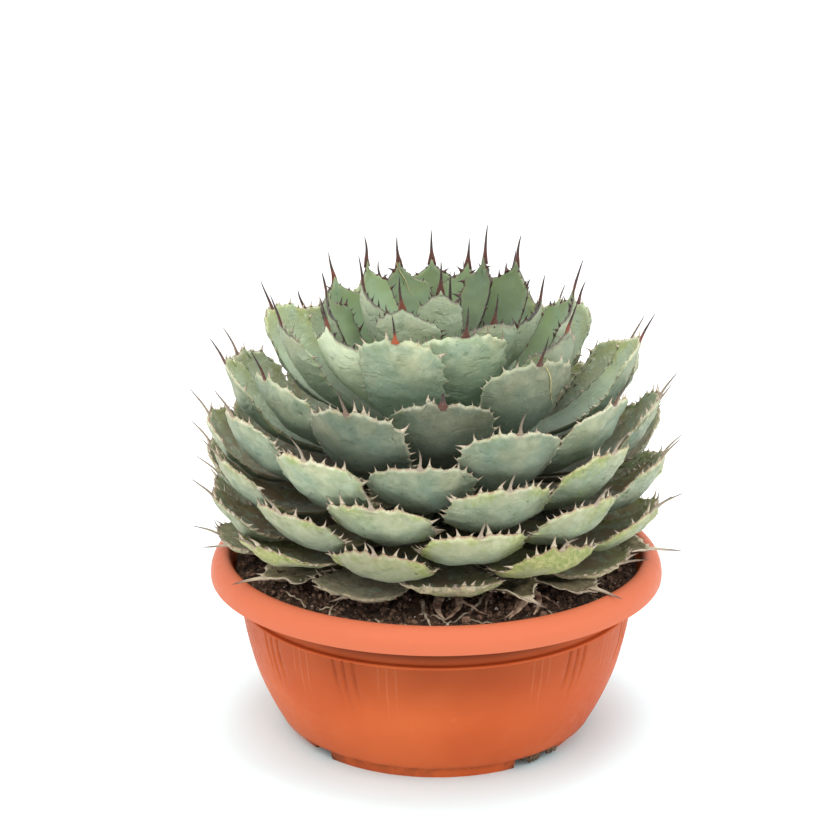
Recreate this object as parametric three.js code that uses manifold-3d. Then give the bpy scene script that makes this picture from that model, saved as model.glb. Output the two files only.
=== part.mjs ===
// Potted butterfly agave, in millimetres, +Z up.
// A low rosette of thick spiny leaves on a short stem, in soil, in a shallow bowl pot.
// The origin is on the pot's axis at the level of its foot, and the front is -Y.

import * as THREE from "three";
import { mergeVertices } from "three/addons/utils/BufferGeometryUtils.js";
import Module from "manifold-3d";

const { Vector2, Vector3 } = THREE;
const wasm = await Module();
wasm.setup();

// Driving dimensions

const pot = {
  rimRadius: 175,
  rimLip: 122.8,               // height of the lower edge of the rim
  height: 140.2,
  mouthRadius: 162.4,
  ledgeRadius: 153.9,
  ledgeHeight: 105,
  footRadius: 119.8,
  footHeight: 9.4,
  floorTop: 13.5,
  floorUnder: 6.5,
  sides: 40,
};

// The foot ring has four gaps, so that water can run out from under the pot.
const notch = { count: 4, width: 37, depth: 24, height: 8.4, firstAzimuth: 40 };
const drain = { count: 6, radius: 5, circle: 62, sides: 8 };

// Groups of three grooves, spaced evenly both ways from the plain panel at the front.
const flutes = {
  panelAzimuth: 8.5, firstAzimuth: 35, step: 27.5, groups: 5,
  halfWidth: 1.2, floorRadius: 150.9, belowLedge: 2, lean: 2,
  grooves: [[-3, 46], [0, 52], [3, 40]],  // [place in degrees, length in mm]
};

const soil = { gap: 0.35, edgeHeight: 129.5, mound: 2, clod: 1.3, holeRadius: 26.7, holeFloor: 106 };

const stem = { rootRadius: 26, rootFoot: 106.5, top: 267, sides: 24, gap: 0.3 };
const bud = {
  moreX: 10, sides: 8,
  profile: [[0, 250], [10, 252], [12, 275], [8, 305], [2, 331], [0, 360]],
};

const rosette = {
  leaves: 84,                  // green leaves by age, from 1 for the oldest to 83 for the youngest
  firstYoung: 50,              // from here on the leaves are still close together in the heart
  firstInner: 72,              // and from here on they stand round the bud
  driedAges: [-8, -7, -6, -4, -3, -2, -1, 0],
  turn: -137.9,                // the golden angle, as this plant shows it
  firstAzimuth: 27.4,
  frontBackShare: 0.87,        // the rosette is a little narrower from front to back
  centreY: 3,
  heartSink: 7,                // how far a young leaf's root is set into the stem
};

const greenForm = { rootThickness: 8, tipThickness: 2.6, edge: 1, spine: 23, teeth: 6, wave: 0 };
const driedForm = { rootThickness: 4, tipThickness: 1.6, edge: 0.8, spine: 23, teeth: 3.5, wave: 2.5 };

const degree = Math.PI / 180;

// Small helpers

// A value that follows a few [position, value] pairs, straight from one to the next.
function follow(pairs, position) {
  const last = pairs.length - 1;
  if (position <= pairs[0][0]) return pairs[0][1];
  if (position >= pairs[last][0]) return pairs[last][1];
  const next = pairs.findIndex(([at]) => at > position);
  const [atA, a] = pairs[next - 1];
  const [atB, b] = pairs[next];
  return a + ((b - a) * (position - atA)) / (atB - atA);
}

// A number from -1 to 1 that is always the same for the same two whole numbers.
function chance(item, draw) {
  const wave = Math.sin((item + 31.7) * 12.9898 + (draw + 5.3) * 78.233) * 43758.5453;
  return 2 * (wave - Math.floor(wave)) - 1;
}

function geometryFrom(positions, triangles) {
  const geometry = new THREE.BufferGeometry();
  geometry.setAttribute("position", new THREE.Float32BufferAttribute(positions, 3));
  geometry.setIndex(triangles);
  return geometry;
}

function solidFrom(geometry) {
  const bare = geometry.clone();
  bare.deleteAttribute("normal");
  bare.deleteAttribute("uv");
  const merged = mergeVertices(bare, 1e-4);
  const vertProperties = new Float32Array(merged.attributes.position.array);
  const triVerts = new Uint32Array(merged.index.array);
  return new wasm.Manifold(new wasm.Mesh({ numProp: 3, vertProperties, triVerts }));
}

function geometryOf(solid) {
  const mesh = solid.getMesh();
  return geometryFrom(Array.from(mesh.vertProperties), Array.from(mesh.triVerts));
}

// A turned body. The profile is a list of [radius, height] from the axis at the bottom,
// up the outside and back to the axis.
function turned(profile, segments) {
  const points = profile.map(([radius, height]) => new Vector2(radius, height));
  const lathe = new THREE.LatheGeometry(points, segments);
  lathe.rotateX(Math.PI / 2);
  return lathe;
}

// Point at an azimuth in degrees, 0 at the front and 90 on the right.
function around(azimuth, radius, height) {
  const angle = azimuth * degree;
  return new Vector3(radius * Math.sin(angle), -radius * Math.cos(angle), height);
}

// Pot

// The outside of the bowl wall, from the belly over the foot up to the ledge.
const bowlOutside = [[122.8, 10.8], [132.4, 28], [142, 52], [149, 80], [152.3, 103.8]];
const bowlInside = [[148.2, 114], [145.4, 80], [130.8, 32], [119, pot.floorTop]];

function potProfile() {
  return [
    [0, pot.floorUnder], [pot.footRadius - 6.8, pot.floorUnder],
    [pot.footRadius - 5.3, 0], [pot.footRadius, 0], [pot.footRadius + 0.6, pot.footHeight],
    ...bowlOutside,
    [pot.ledgeRadius, pot.ledgeHeight], [150.6, pot.ledgeHeight + 1.6], [151.8, 114.5],
    [163, 131.5], [169.5, 129], [pot.rimRadius - 2.6, pot.rimLip],
    [pot.rimRadius, pot.rimLip], [pot.rimRadius - 1.2, 131], [169, 137.6],
    [pot.mouthRadius, pot.height], [158.8, 133],
    ...bowlInside,
    [0, pot.floorTop],
  ];
}

// A shallow groove down the bowl wall, widest under the ledge and running out below.
function fluteCutter(azimuth, lean, length) {
  const top = pot.ledgeHeight - flutes.belowLedge;
  const bottom = top - length;
  const wallByHeight = bowlOutside.map(([radius, height]) => [height, radius]);
  const corners = [
    around(azimuth - flutes.halfWidth, pot.ledgeRadius + 1, top),
    around(azimuth + flutes.halfWidth, pot.ledgeRadius + 1, top),
    around(azimuth, flutes.floorRadius, top),
    around(azimuth + lean, follow(wallByHeight, bottom), bottom),
  ];
  const positions = corners.flatMap((corner) => corner.toArray());
  return solidFrom(geometryFrom(positions, [0, 1, 2, 1, 0, 3, 2, 1, 3, 0, 2, 3]));
}

function fluteCutters() {
  const cutters = [];
  for (const side of [-1, 1]) {
    for (let group = 0; group < flutes.groups; group += 1) {
      const centre = flutes.panelAzimuth + side * (flutes.firstAzimuth + flutes.step * group);
      for (const [place, length] of flutes.grooves) {
        cutters.push(fluteCutter(centre + side * place, -side * flutes.lean, length));
      }
    }
  }
  return cutters;
}

function notchCutters() {
  const belowFoot = 10;
  const cutters = [];
  for (let index = 0; index < notch.count; index += 1) {
    const azimuth = notch.firstAzimuth + (index * 360) / notch.count;
    const box = new THREE.BoxGeometry(notch.width, notch.depth, notch.height + belowFoot);
    box.rotateZ(azimuth * degree);
    const place = around(azimuth, pot.footRadius, (notch.height - belowFoot) / 2);
    box.translate(place.x, place.y, place.z);
    cutters.push(solidFrom(box));
  }
  return cutters;
}

function drainCutters() {
  const cutters = [];
  for (let index = 0; index < drain.count; index += 1) {
    const drill = new THREE.CylinderGeometry(drain.radius, drain.radius, 20, drain.sides);
    drill.rotateX(Math.PI / 2);
    const place = around((index * 360) / drain.count, drain.circle, (pot.floorTop + pot.floorUnder) / 2);
    drill.translate(place.x, place.y, place.z);
    cutters.push(solidFrom(drill));
  }
  return cutters;
}

function makePot() {
  const body = solidFrom(turned(potProfile(), pot.sides));
  const cutters = [...fluteCutters(), ...notchCutters(), ...drainCutters()];
  return geometryOf(body.subtract(wasm.Manifold.union(cutters)));
}

// Soil

// Height of the crumbly top of the soil.
function soilHeight(x, y) {
  const radius = Math.hypot(x, y);
  const mound = soil.mound * (1 - (radius / pot.mouthRadius) ** 2);
  const clods = Math.sin(x * 0.19 + 1.3 * Math.sin(y * 0.11)) * Math.sin(y * 0.23 + 1.7);
  const grains = 0.5 * Math.sin(x * 0.47 + y * 0.31) * Math.sin(y * 0.53 - x * 0.29 + 0.8);
  return soil.edgeHeight + mound + soil.clod * (clods + grains);
}

function makeSoil() {
  const under = bowlInside.map(([radius, height]) => [radius - soil.gap, height + 0.1]).reverse();
  under[0][1] = pot.floorTop + soil.gap;
  const rings = [147, 134, 118, 99, 76, 50];
  const profile = [
    [0, pot.floorTop + soil.gap], ...under, [155.6, soil.edgeHeight],
    ...rings.map((radius) => [radius, soil.edgeHeight]),
    [soil.holeRadius, soil.edgeHeight + soil.mound], [soil.holeRadius, soil.holeFloor], [0, soil.holeFloor],
  ];
  const geometry = turned(profile, pot.sides);
  const position = geometry.attributes.position;
  for (let index = 0; index < position.count; index += 1) {
    const x = position.getX(index);
    const y = position.getY(index);
    const onTop = rings.some((radius) => Math.abs(Math.hypot(x, y) - radius) < 0.01);
    if (onTop) position.setZ(index, soilHeight(x, y));
  }
  return geometryOf(solidFrom(geometry));
}

// Leaves

// The leaf outline: share of the half width at each share of the length.
const outline = [
  [0, 0.35], [0.28, 0.4], [0.48, 0.72], [0.63, 0.94], [0.76, 1], [0.87, 0.88], [0.95, 0.55], [1, 0.05],
];

// Radius of the stem by height.
const stemRadius = [[134, 37], [139, 41], [160, 40], [200, 34], [230, 27], [255, 15], [266, 2]];

// What each leaf is like, by its age number: lengths in mm, slopes in degrees above level. The
// hook says how much of the reach keeps to the slope of the tip, and the cup bends it crosswise.
const tipHeight = [[-8, 143.5], [0, 147], [1, 151], [8, 168], [20, 203], [40, 254], [60, 319],
  [72, 344], [83, 359]];
const tipRadius = [[-8, 158], [0, 160], [12, 175], [32, 176], [48, 169], [57, 152], [65, 124], [70, 102],
  [77, 82], [80, 58], [83, 42]];
const rootHeight = [[-8, 139.5], [0, 142.5], [1, 148], [83, 254]];
const rootSlope = [[-8, -3], [0, -3], [1, -2], [20, -3], [42, 5], [55, 12], [68, 34], [76, 52],
  [83, 74]];
const tipSlope = [[-8, 2], [0, 4], [1, 14], [8, 54], [15, 68], [42, 74], [60, 78], [83, 86]];
const tipHook = [[-8, 0.2], [1, 0.24], [8, 0.28], [20, 0.42], [42, 0.48], [60, 0.45], [83, 0.4]];
const spineSlope = [[-8, -6], [0, 2], [8, 24], [21, 44], [42, 54], [55, 60], [68, 72], [83, 84]];
const leafWidth = [[-8, 58], [0, 64], [15, 73], [30, 76], [60, 75], [70, 66], [76, 52], [80, 40], [83, 30]];
const leafCup = [[-8, 0.004], [0, 0.008], [20, 0.012], [60, 0.014], [76, 0.022], [83, 0.034]];

// Leaves whose place in the photo departs from the rule: [more azimuth, more height, more radius].
const nudges = {
  0: [0, 2, 0], 2: [0, 0, -2], 6: [0, 2, 0], 9: [0, 3, 0], 10: [0, 3, -1.95], 11: [-3, 3, 0],
  12: [0, 0, -4], 13: [-1, 3, 0], 14: [0, 1, 0], 15: [0, 1, 0], 16: [3, 0, 0], 18: [-2, 0, 0],
  23: [0, 0, -1], 24: [0, 1, 0], 26: [1, 2, 0], 29: [-5, 0, 0], 32: [0, 1, 0], 33: [0, 1, 0],
  37: [1, 9, 0], 39: [0, 2, 0], 42: [0, -6.5, 0], 45: [-4, 0, 0], 47: [-4, 1, 0], 50: [3, 4, 0],
  52: [-2, -9, 0], 55: [-1, -7, 0], 58: [-6, -9, 0], 63: [4, 6, 0], 65: [-4, 0, 0], 71: [-2, -6, 10],
  73: [-10, -5, 0], 75: [0, 7, 0], 76: [-6, 0, 0], 81: [-14, 0, 0], 82: [-10, 0, 22], 83: [20, 4, 14],
};

// A point on a curve with a set direction at each end, in the leaf's own upright plane.
function midribCurve(leaf) {
  const reach = Math.hypot(leaf.tip[0] - leaf.root[0], leaf.tip[1] - leaf.root[1]);
  const start = new Vector2(...leaf.root);
  const end = new Vector2(...leaf.tip);
  const rootWay = new Vector2(Math.cos(leaf.rootSlope * degree), Math.sin(leaf.rootSlope * degree));
  const tipWay = new Vector2(Math.cos(leaf.tipSlope * degree), Math.sin(leaf.tipSlope * degree));
  const first = start.clone().addScaledVector(rootWay, reach * 0.42);
  const second = end.clone().addScaledVector(tipWay, -reach * leaf.hook);
  return new THREE.CubicBezierCurve(start, first, second, end);
}

function leafAt(age, form) {
  const [moreTurn, moreHeight, moreRadius] = nudges[age] ?? [0, 0, 0];
  const azimuth = rosette.firstAzimuth + rosette.turn * age + moreTurn;
  const sideways = Math.abs(Math.sin(azimuth * degree));
  const share = rosette.frontBackShare + (1 - rosette.frontBackShare) * sideways;
  const behind = -rosette.centreY * Math.cos(azimuth * degree);
  const height = follow(rootHeight, age);
  const slope = follow(rootSlope, age);
  // The lower edge of the root face leans in or out with the slope, and meets a wider stem.
  const underHeight = height - form.rootThickness * Math.cos(slope * degree);
  const underRadius = follow(stemRadius, underHeight) - form.rootThickness * Math.sin(slope * degree);
  const rootRadius = Math.max(follow(stemRadius, height), underRadius);
  return {
    age, azimuth,
    root: [rootRadius + stem.gap, height],
    tip: [follow(tipRadius, age) * share + behind + moreRadius, follow(tipHeight, age) + moreHeight],
    rootSlope: slope,
    tipSlope: follow(tipSlope, age),
    hook: follow(tipHook, age),
    spineSlope: follow(spineSlope, age),
    halfWidth: follow(leafWidth, age) / 2,
    cup: follow(leafCup, age),
    roll: 2.5 * chance(age, 1),
    ...form,
    spine: form.spine * (1 + 0.1 * chance(age, 2)),
  };
}

// One leaf as a closed thin body. Rows run across it at the outline's places, and between two
// rows each margin carries one tooth. The last point is the end of the terminal spine.
function leafMesh(leaf, rows) {
  const curve = midribCurve(leaf);
  const azimuth = leaf.azimuth * degree;
  const across = new Vector3(Math.cos(azimuth), Math.sin(azimuth), 0);
  const outwards = new Vector3(Math.sin(azimuth), -Math.cos(azimuth), 0);
  const positions = [];
  const triangles = [];

  // Place of a point: side in mm from the midrib, along from 0 to 1, depth in mm below the face.
  function place(side, along, depth) {
    const point = curve.getPointAt(Math.min(along, 1));
    const way = curve.getTangentAt(Math.min(along, 1));
    const bend = side * leaf.cup;
    const inPlane = Math.sin(bend) / leaf.cup;
    const share = side / leaf.halfWidth;
    const ripple = leaf.wave * share * share * Math.sin(along * 9 + leaf.age * 2 + Math.sign(side));
    const lift = (1 - Math.cos(bend)) / leaf.cup - depth * Math.cos(bend) + ripple;
    const sideways = inPlane + depth * Math.sin(bend);
    const rolled = leaf.roll * degree * Math.min(along, 1);
    const lateral = sideways * Math.cos(rolled) - lift * Math.sin(rolled);
    const raised = lift * Math.cos(rolled) + sideways * Math.sin(rolled);
    const radius = point.x - way.y * raised;
    const height = point.y + way.x * raised;
    return across.clone().multiplyScalar(lateral).addScaledVector(outwards, radius).setZ(height);
  }

  function keep(point) {
    positions.push(...point.toArray());
    return positions.length / 3 - 1;
  }

  function thicknessAt(share, along) {
    const centre = leaf.rootThickness + (leaf.tipThickness - leaf.rootThickness) * along ** 0.8;
    return leaf.edge + (centre - leaf.edge) * (1 - share * share);
  }

  const grid = rows.map(([along, columns]) => {
    const half = leaf.halfWidth * follow(outline, along);
    const shares = columns === 5 ? [-1, -0.5, 0, 0.5, 1] : [-1, 0, 1];
    return {
      along, half,
      top: shares.map((share) => keep(place(share * half, along, 0))),
      under: shares.map((share) => keep(place(share * half, along, thicknessAt(share, along)))),
    };
  });

  // Join two rows of points, also where one has more points than the other.
  function joinRows(near, far, flip) {
    let a = 0;
    let b = 0;
    while (a < near.length - 1 || b < far.length - 1) {
      const nextA = (a + 1) / (near.length - 1);
      const nextB = (b + 1) / (far.length - 1);
      const stepNear = b === far.length - 1 || (a < near.length - 1 && nextA <= nextB);
      const corner = stepNear ? near[a + 1] : far[b + 1];
      triangles.push(...(flip ? [near[a], corner, far[b]] : [near[a], far[b], corner]));
      if (stepNear) a += 1;
      else b += 1;
    }
  }

  for (let row = 0; row < grid.length - 1; row += 1) {
    const near = grid[row];
    const far = grid[row + 1];
    joinRows(near.top, far.top, false);
    joinRows(near.under, far.under, true);
    for (const side of [-1, 1]) {
      const [nearTop, farTop, nearUnder, farUnder] = [near.top, far.top, near.under, far.under]
        .map((points) => points[side < 0 ? 0 : points.length - 1]);
      const ring = [nearTop, farTop, farUnder, nearUnder];
      if (side < 0) ring.reverse();
      const toothed = leaf.teeth > 0 && near.along > 0.25 && far.along < 0.99;
      if (toothed) {
        const run = (far.along - near.along) * curve.getLength();
        const lean = Math.atan2(near.half - far.half, run);
        const out = leaf.teeth * (0.85 + 0.2 * chance(leaf.age, row * side));
        const half = (near.half + far.half) / 2 + out * Math.cos(lean);
        const along = (near.along + far.along) / 2 + (out * Math.sin(lean) + 0.8) / curve.getLength();
        const point = keep(place(side * half, along, leaf.edge / 2));
        for (let corner = 0; corner < 4; corner += 1) {
          triangles.push(point, ring[corner], ring[(corner + 1) % 4]);
        }
      } else {
        triangles.push(ring[0], ring[1], ring[2], ring[0], ring[2], ring[3]);
      }
    }
  }

  // The terminal spine ends in one point, and the root is a flat face towards the stem.
  const last = grid[grid.length - 1];
  const spineWay = leaf.spineSlope * degree;
  const spineFoot = place(0, 1, leaf.tipThickness / 2);
  const spineEnd = spineFoot.addScaledVector(outwards, leaf.spine * Math.cos(spineWay));
  spineEnd.z += leaf.spine * Math.sin(spineWay);
  const point = keep(spineEnd);
  const collar = [...last.top, ...last.under.slice().reverse()];
  collar.forEach((corner, index) => {
    triangles.push(corner, point, collar[(index + 1) % collar.length]);
  });
  joinRows(grid[0].under, grid[0].top, false);
  return geometryFrom(positions, triangles);
}

// Rows across a leaf: [share of the length, points across].
const fullRows = [[0, 3], [0.28, 3], [0.48, 5], [0.63, 5], [0.76, 5], [0.87, 5], [0.95, 3], [1, 3]];
const plainRows = [[0, 3], [0.3, 3], [0.52, 5], [0.7, 5], [0.84, 5], [0.94, 3], [1, 3]];
const innerRows = [[0, 3], [0.35, 3], [0.6, 3], [0.82, 3], [0.94, 3], [1, 3]];

// The stem with the young leaves that are still close together, and the bud in their middle.
function makeHeart() {
  const stemProfile = [
    [0, stem.rootFoot], [stem.rootRadius, stem.rootFoot], [stem.rootRadius, stemRadius[0][0]],
    ...stemRadius.map(([height, radius]) => [radius, height]), [0, stem.top],
  ];
  const pieces = [solidFrom(turned(stemProfile, stem.sides))];
  for (let age = rosette.firstYoung; age < rosette.leaves; age += 1) {
    const leaf = leafAt(age, greenForm);
    leaf.root[0] -= rosette.heartSink;
    const rows = age < rosette.firstInner ? plainRows : innerRows;
    pieces.push(solidFrom(leafMesh(leaf, rows)));
  }
  const budCone = turned(bud.profile, bud.sides);
  budCone.translate(bud.moreX, 0, 0);
  pieces.push(solidFrom(budCone));
  return geometryOf(wasm.Manifold.union(pieces));
}

// Materials and the scene graph

const terracottaPlastic = new THREE.MeshStandardMaterial({ color: "#dd7146", roughness: 0.6 });
const pottingSoil = new THREE.MeshStandardMaterial({ color: "#33261e", roughness: 1 });
const greenLeaf = new THREE.MeshStandardMaterial({ color: "#93ae8e", roughness: 0.65, flatShading: true });
const driedLeaf = new THREE.MeshStandardMaterial({ color: "#a3977c", roughness: 0.9, flatShading: true });

const agave = new THREE.Group();

function addPiece(name, geometry, material) {
  const mesh = new THREE.Mesh(geometry, material);
  mesh.name = name;
  agave.add(mesh);
}

addPiece("pot", makePot(), terracottaPlastic);
addPiece("soil", makeSoil(), pottingSoil);
addPiece("heart", makeHeart(), greenLeaf);
rosette.driedAges.forEach((age, index) => {
  addPiece(`dried_leaf_${index + 1}`, leafMesh(leafAt(age, driedForm), plainRows), driedLeaf);
});
for (let age = 1; age < rosette.firstYoung; age += 1) {
  addPiece(`leaf_${String(age).padStart(2, "0")}`, leafMesh(leafAt(age, greenForm), fullRows), greenLeaf);
}

export default agave;
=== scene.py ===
import functools
import math

import bpy
import numpy as np
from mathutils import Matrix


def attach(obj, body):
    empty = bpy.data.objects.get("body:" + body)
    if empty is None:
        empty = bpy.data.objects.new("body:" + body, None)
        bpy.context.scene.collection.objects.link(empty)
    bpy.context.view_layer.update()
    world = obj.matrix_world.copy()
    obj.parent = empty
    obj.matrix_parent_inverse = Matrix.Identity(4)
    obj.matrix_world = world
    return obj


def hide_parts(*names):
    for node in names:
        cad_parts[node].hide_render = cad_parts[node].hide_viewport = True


# A butterfly agave in a shallow orange bowl pot. Lengths are in millimetres until a mesh is made,
# azimuth 0 is the front (-Y) and 90 is the right (+X).

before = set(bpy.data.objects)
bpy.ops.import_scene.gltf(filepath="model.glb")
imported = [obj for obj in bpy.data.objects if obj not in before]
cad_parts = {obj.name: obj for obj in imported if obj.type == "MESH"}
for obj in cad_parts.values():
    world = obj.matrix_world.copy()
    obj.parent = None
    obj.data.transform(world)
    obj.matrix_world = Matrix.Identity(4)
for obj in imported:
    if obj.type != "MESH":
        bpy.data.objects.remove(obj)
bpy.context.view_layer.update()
scene = bpy.context.scene
mm = 0.001


# Camera, light and floor

cameraSettings = {
    "place": (0.0, -1.5027, 0.6994),  # metres
    "yaw": -0.48,
    "pitch": 16.93,
    "lens": 88.2,
    "sensor": 36.0,
}

lightSettings = {
    "sky": 1.18,
    "key": {"place": (-0.8, -1.3, 1.95), "size": 1.4, "power": 15.0, "colour": "FFF9F0"},
    "top": {"place": (0.1, 0.25, 2.15), "size": 1.5, "power": 25.0, "colour": "FFFFFF"},
    "side": {"place": (1.7, -0.5, 0.9), "size": 0.9, "power": 5.0, "colour": "FFFFFF"},
    "aim": (0.0, 0.0, 0.22),
}


def linearColour(hexCode):
    # sRGB hex to linear: c / 12.92 below 0.04045, else ((c + 0.055) / 1.055) ^ 2.4
    values = [int(hexCode[k:k + 2], 16) / 255 for k in (0, 2, 4)]
    return [v / 12.92 if v <= 0.04045 else ((v + 0.055) / 1.055) ** 2.4 for v in values] + [1.0]


def aimAt(obj, place, target):
    # turn an object so that its -Z points from place to target
    obj.location = place
    way = [t - p for t, p in zip(target, place)]
    flat = math.hypot(way[0], way[1])
    obj.rotation_euler = (math.atan2(flat, -way[2]), 0, math.atan2(-way[0], way[1]))


def makeCamera():
    data = bpy.data.cameras.new("photoCamera")
    data.lens = cameraSettings["lens"]
    data.sensor_width = cameraSettings["sensor"]
    data.clip_start = 0.05
    camera = bpy.data.objects.new("photoCamera", data)
    scene.collection.objects.link(camera)
    camera.location = cameraSettings["place"]
    camera.rotation_euler = (math.radians(90 - cameraSettings["pitch"]), 0, math.radians(-cameraSettings["yaw"]))
    scene.camera = camera


def makeLights():
    world = bpy.data.worlds.new("studioSky")
    scene.world = world
    world.use_nodes = True
    background = world.node_tree.nodes["Background"]
    background.inputs["Color"].default_value = linearColour("FEFEFE")
    background.inputs["Strength"].default_value = lightSettings["sky"]
    for name in ("key", "top", "side"):
        settings = lightSettings[name]
        data = bpy.data.lights.new(name + "Softbox", "AREA")
        data.shape = "SQUARE"
        data.size = settings["size"]
        data.energy = settings["power"]
        data.color = linearColour(settings["colour"])[:3]
        lamp = bpy.data.objects.new(name + "Softbox", data)
        scene.collection.objects.link(lamp)
        aimAt(lamp, settings["place"], lightSettings["aim"])
    scene.view_settings.view_transform = "Standard"


# Small helpers

def follow(pairs, position):
    # straight from one [position, value] pair to the next
    table = np.array(pairs, float)
    return np.interp(position, table[:, 0], table[:, 1])


def chance(item, draw):
    # a number from -1 to 1 that is always the same for the same two numbers
    wave = math.sin((item + 31.7) * 12.9898 + (draw + 5.3) * 78.233) * 43758.5453
    return 2 * (wave - math.floor(wave)) - 1


def smoothStep(low, high, value):
    t = np.clip((value - low) / (high - low), 0, 1)
    return t * t * (3 - 2 * t)


def lattice(x, y, seed):
    # a hashed number from 0 to 1 for each pair of whole numbers
    wave = np.sin(x * 127.1 + y * 311.7 + seed * 74.7) * 43758.5453
    return wave - np.floor(wave)


def rough(x, y, seed=0):
    # smooth noise from -1 to 1 with hills one unit apart: hashed corner values, blended smoothly
    column, row = np.floor(x), np.floor(y)
    s, t = x - column, y - row
    s, t = s * s * (3 - 2 * s), t * t * (3 - 2 * t)
    low = lattice(column, row, seed) * (1 - s) + lattice(column + 1, row, seed) * s
    high = lattice(column, row + 1, seed) * (1 - s) + lattice(column + 1, row + 1, seed) * s
    return 2 * (low * (1 - t) + high * t) - 1


def unit(vectors):
    return vectors / np.maximum(np.linalg.norm(vectors, axis=-1, keepdims=True), 1e-12)


def quadsOf(numbers):
    # quads over a grid of point numbers
    return np.stack([numbers[:-1, :-1], numbers[:-1, 1:], numbers[1:, 1:], numbers[1:, :-1]], -1).reshape(-1, 4)


def ringQuads(count, sides):
    numbers = np.arange(count * sides).reshape(count, sides)
    return quadsOf(np.hstack([numbers, numbers[:, :1]]))


def fullTurn(sides):
    return np.arange(sides) / sides * 2 * math.pi


def roundAxis(radius, angle, height):
    # points at a radius, at an angle from the front and at a height
    return np.stack(np.broadcast_arrays(radius * np.sin(angle), -radius * np.cos(angle), height), -1)


def closedRings(rings, low, high):
    # rings of points joined to a closed skin, with a fan of triangles to one more point at each end
    count, sides = rings.shape[:2]
    k = np.arange(sides)
    following, last = (k + 1) % sides, (count - 1) * sides
    fans = [np.stack([0 * k + count * sides, following, k], 1),
            np.stack([0 * k + count * sides + 1, last + k, last + following], 1)]
    return np.vstack([rings.reshape(-1, 3), [low, high]]), ringQuads(count, sides), np.vstack(fans)


def turnedSolid(profile, sides):
    # a profile of [radius, height] turned about the axis
    profile = np.array(profile, float)
    rings = roundAxis(profile[:, :1], fullTurn(sides), profile[:, 1:])
    return closedRings(rings, [0, 0, profile[0, 1]], [0, 0, profile[-1, 1]])


def repeated(faces, count, each):
    # the faces of one of many like forms, numbered on for all of them
    return (faces[None] + (np.arange(count) * each)[:, None, None]).reshape(-1, faces.shape[1])


def joinParts(parts):
    # several parts as one; a part is its points, quads, triangles and values at the points
    firsts = np.cumsum([0] + [len(part[0]) for part in parts])
    quads, triangles = [np.vstack([part[k] + first for part, first in zip(parts, firsts)]) for k in (1, 2)]
    values = {key: np.concatenate([part[3][key] for part in parts]) for key in parts[0][3]}
    return np.vstack([part[0] for part in parts]), quads, triangles, values


def meshFrom(name, part, smooth=True):
    points, quads, triangles, values = part
    mesh = bpy.data.meshes.new(name)
    sizes = np.repeat([4, 3], [len(quads), len(triangles)])
    loops = np.concatenate([quads.ravel(), triangles.ravel()]).astype(np.int32)
    mesh.vertices.add(len(points))
    mesh.vertices.foreach_set("co", (points * mm).astype(np.float32).ravel())
    mesh.loops.add(len(loops))
    mesh.loops.foreach_set("vertex_index", loops)
    mesh.polygons.add(len(sizes))
    mesh.polygons.foreach_set("loop_start", (np.cumsum(sizes) - sizes).astype(np.int32))
    mesh.polygons.foreach_set("use_smooth", np.full(len(sizes), smooth))
    mesh.update(calc_edges=True)
    mesh.validate()
    for key, value in values.items():
        kind, field = ("FLOAT_VECTOR", "vector") if value.ndim == 2 else ("FLOAT", "value")
        mesh.attributes.new(key, kind, "POINT").data.foreach_set(field, value.astype(np.float32).ravel())
    return mesh


def addPiece(name, part, material, slot, *nodes, smooth=True):
    # put a part in the scene, on the pot's body, in the place of its CAD nodes
    mesh = meshFrom(name, part, smooth)
    piece = bpy.data.objects.new(name, mesh)
    scene.collection.objects.link(piece)
    mesh.materials.append(material)
    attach(piece, "root")
    if nodes:
        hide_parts(*nodes)
    return piece


# Shader nodes

nodeKinds = {  # node type, its settings, its inputs in the order they are given, and the output that is used
    "place": ("ShaderNodeTexCoord", {}, [], "Object"),
    "stored": ("ShaderNodeAttribute", {}, [], "Fac"),
    "storedPlace": ("ShaderNodeAttribute", {}, [], "Vector"),
    "stretch": ("ShaderNodeMapping", {}, ["Vector", "Scale"], 0),
    "noise": ("ShaderNodeTexNoise", {}, ["Vector", "Scale", "Detail", "Roughness", "Distortion"], 0),
    "cells": ("ShaderNodeTexVoronoi", {}, ["Vector", "Scale"], "Distance"),
    "sideways": ("ShaderNodeSeparateXYZ", {}, ["Vector"], "X"),
    "length": ("ShaderNodeVectorMath", {"operation": "LENGTH"}, ["Vector"], "Value"),
    "dim": ("ShaderNodeVectorMath", {"operation": "SCALE"}, ["Vector", "Scale"], 0),
    "range": ("ShaderNodeMapRange", {"interpolation_type": "SMOOTHSTEP"},
              ["Value", "From Min", "From Max", "To Min", "To Max"], 0),
    "mix": ("ShaderNodeMix", {"data_type": "RGBA", "clamp_factor": True}, [0, 6, 7], 2),
    "bump": ("ShaderNodeBump", {}, ["Height", "Distance", "Strength"], 0),
}
for operation in ("ADD", "SUBTRACT", "MULTIPLY", "MAXIMUM", "ABSOLUTE"):
    nodeKinds[operation.lower()] = ("ShaderNodeMath", {"operation": operation}, [0, 1], 0)


def setInputs(node, values):
    # An input takes a number, a hex colour or another node's output. Such an output in brackets with two numbers
    # is turned smoothly from those to 0 and 1, or to the two numbers that follow.
    tree = node.id_data
    for key, value in values.items():
        if isinstance(value, tuple) and isinstance(value[0], bpy.types.NodeSocket):
            value = addNode(tree, "range", *value)
        if isinstance(value, bpy.types.NodeSocket):
            tree.links.new(value, node.inputs[key])
        else:
            node.inputs[key].default_value = linearColour(value) if isinstance(value, str) else value


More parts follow.
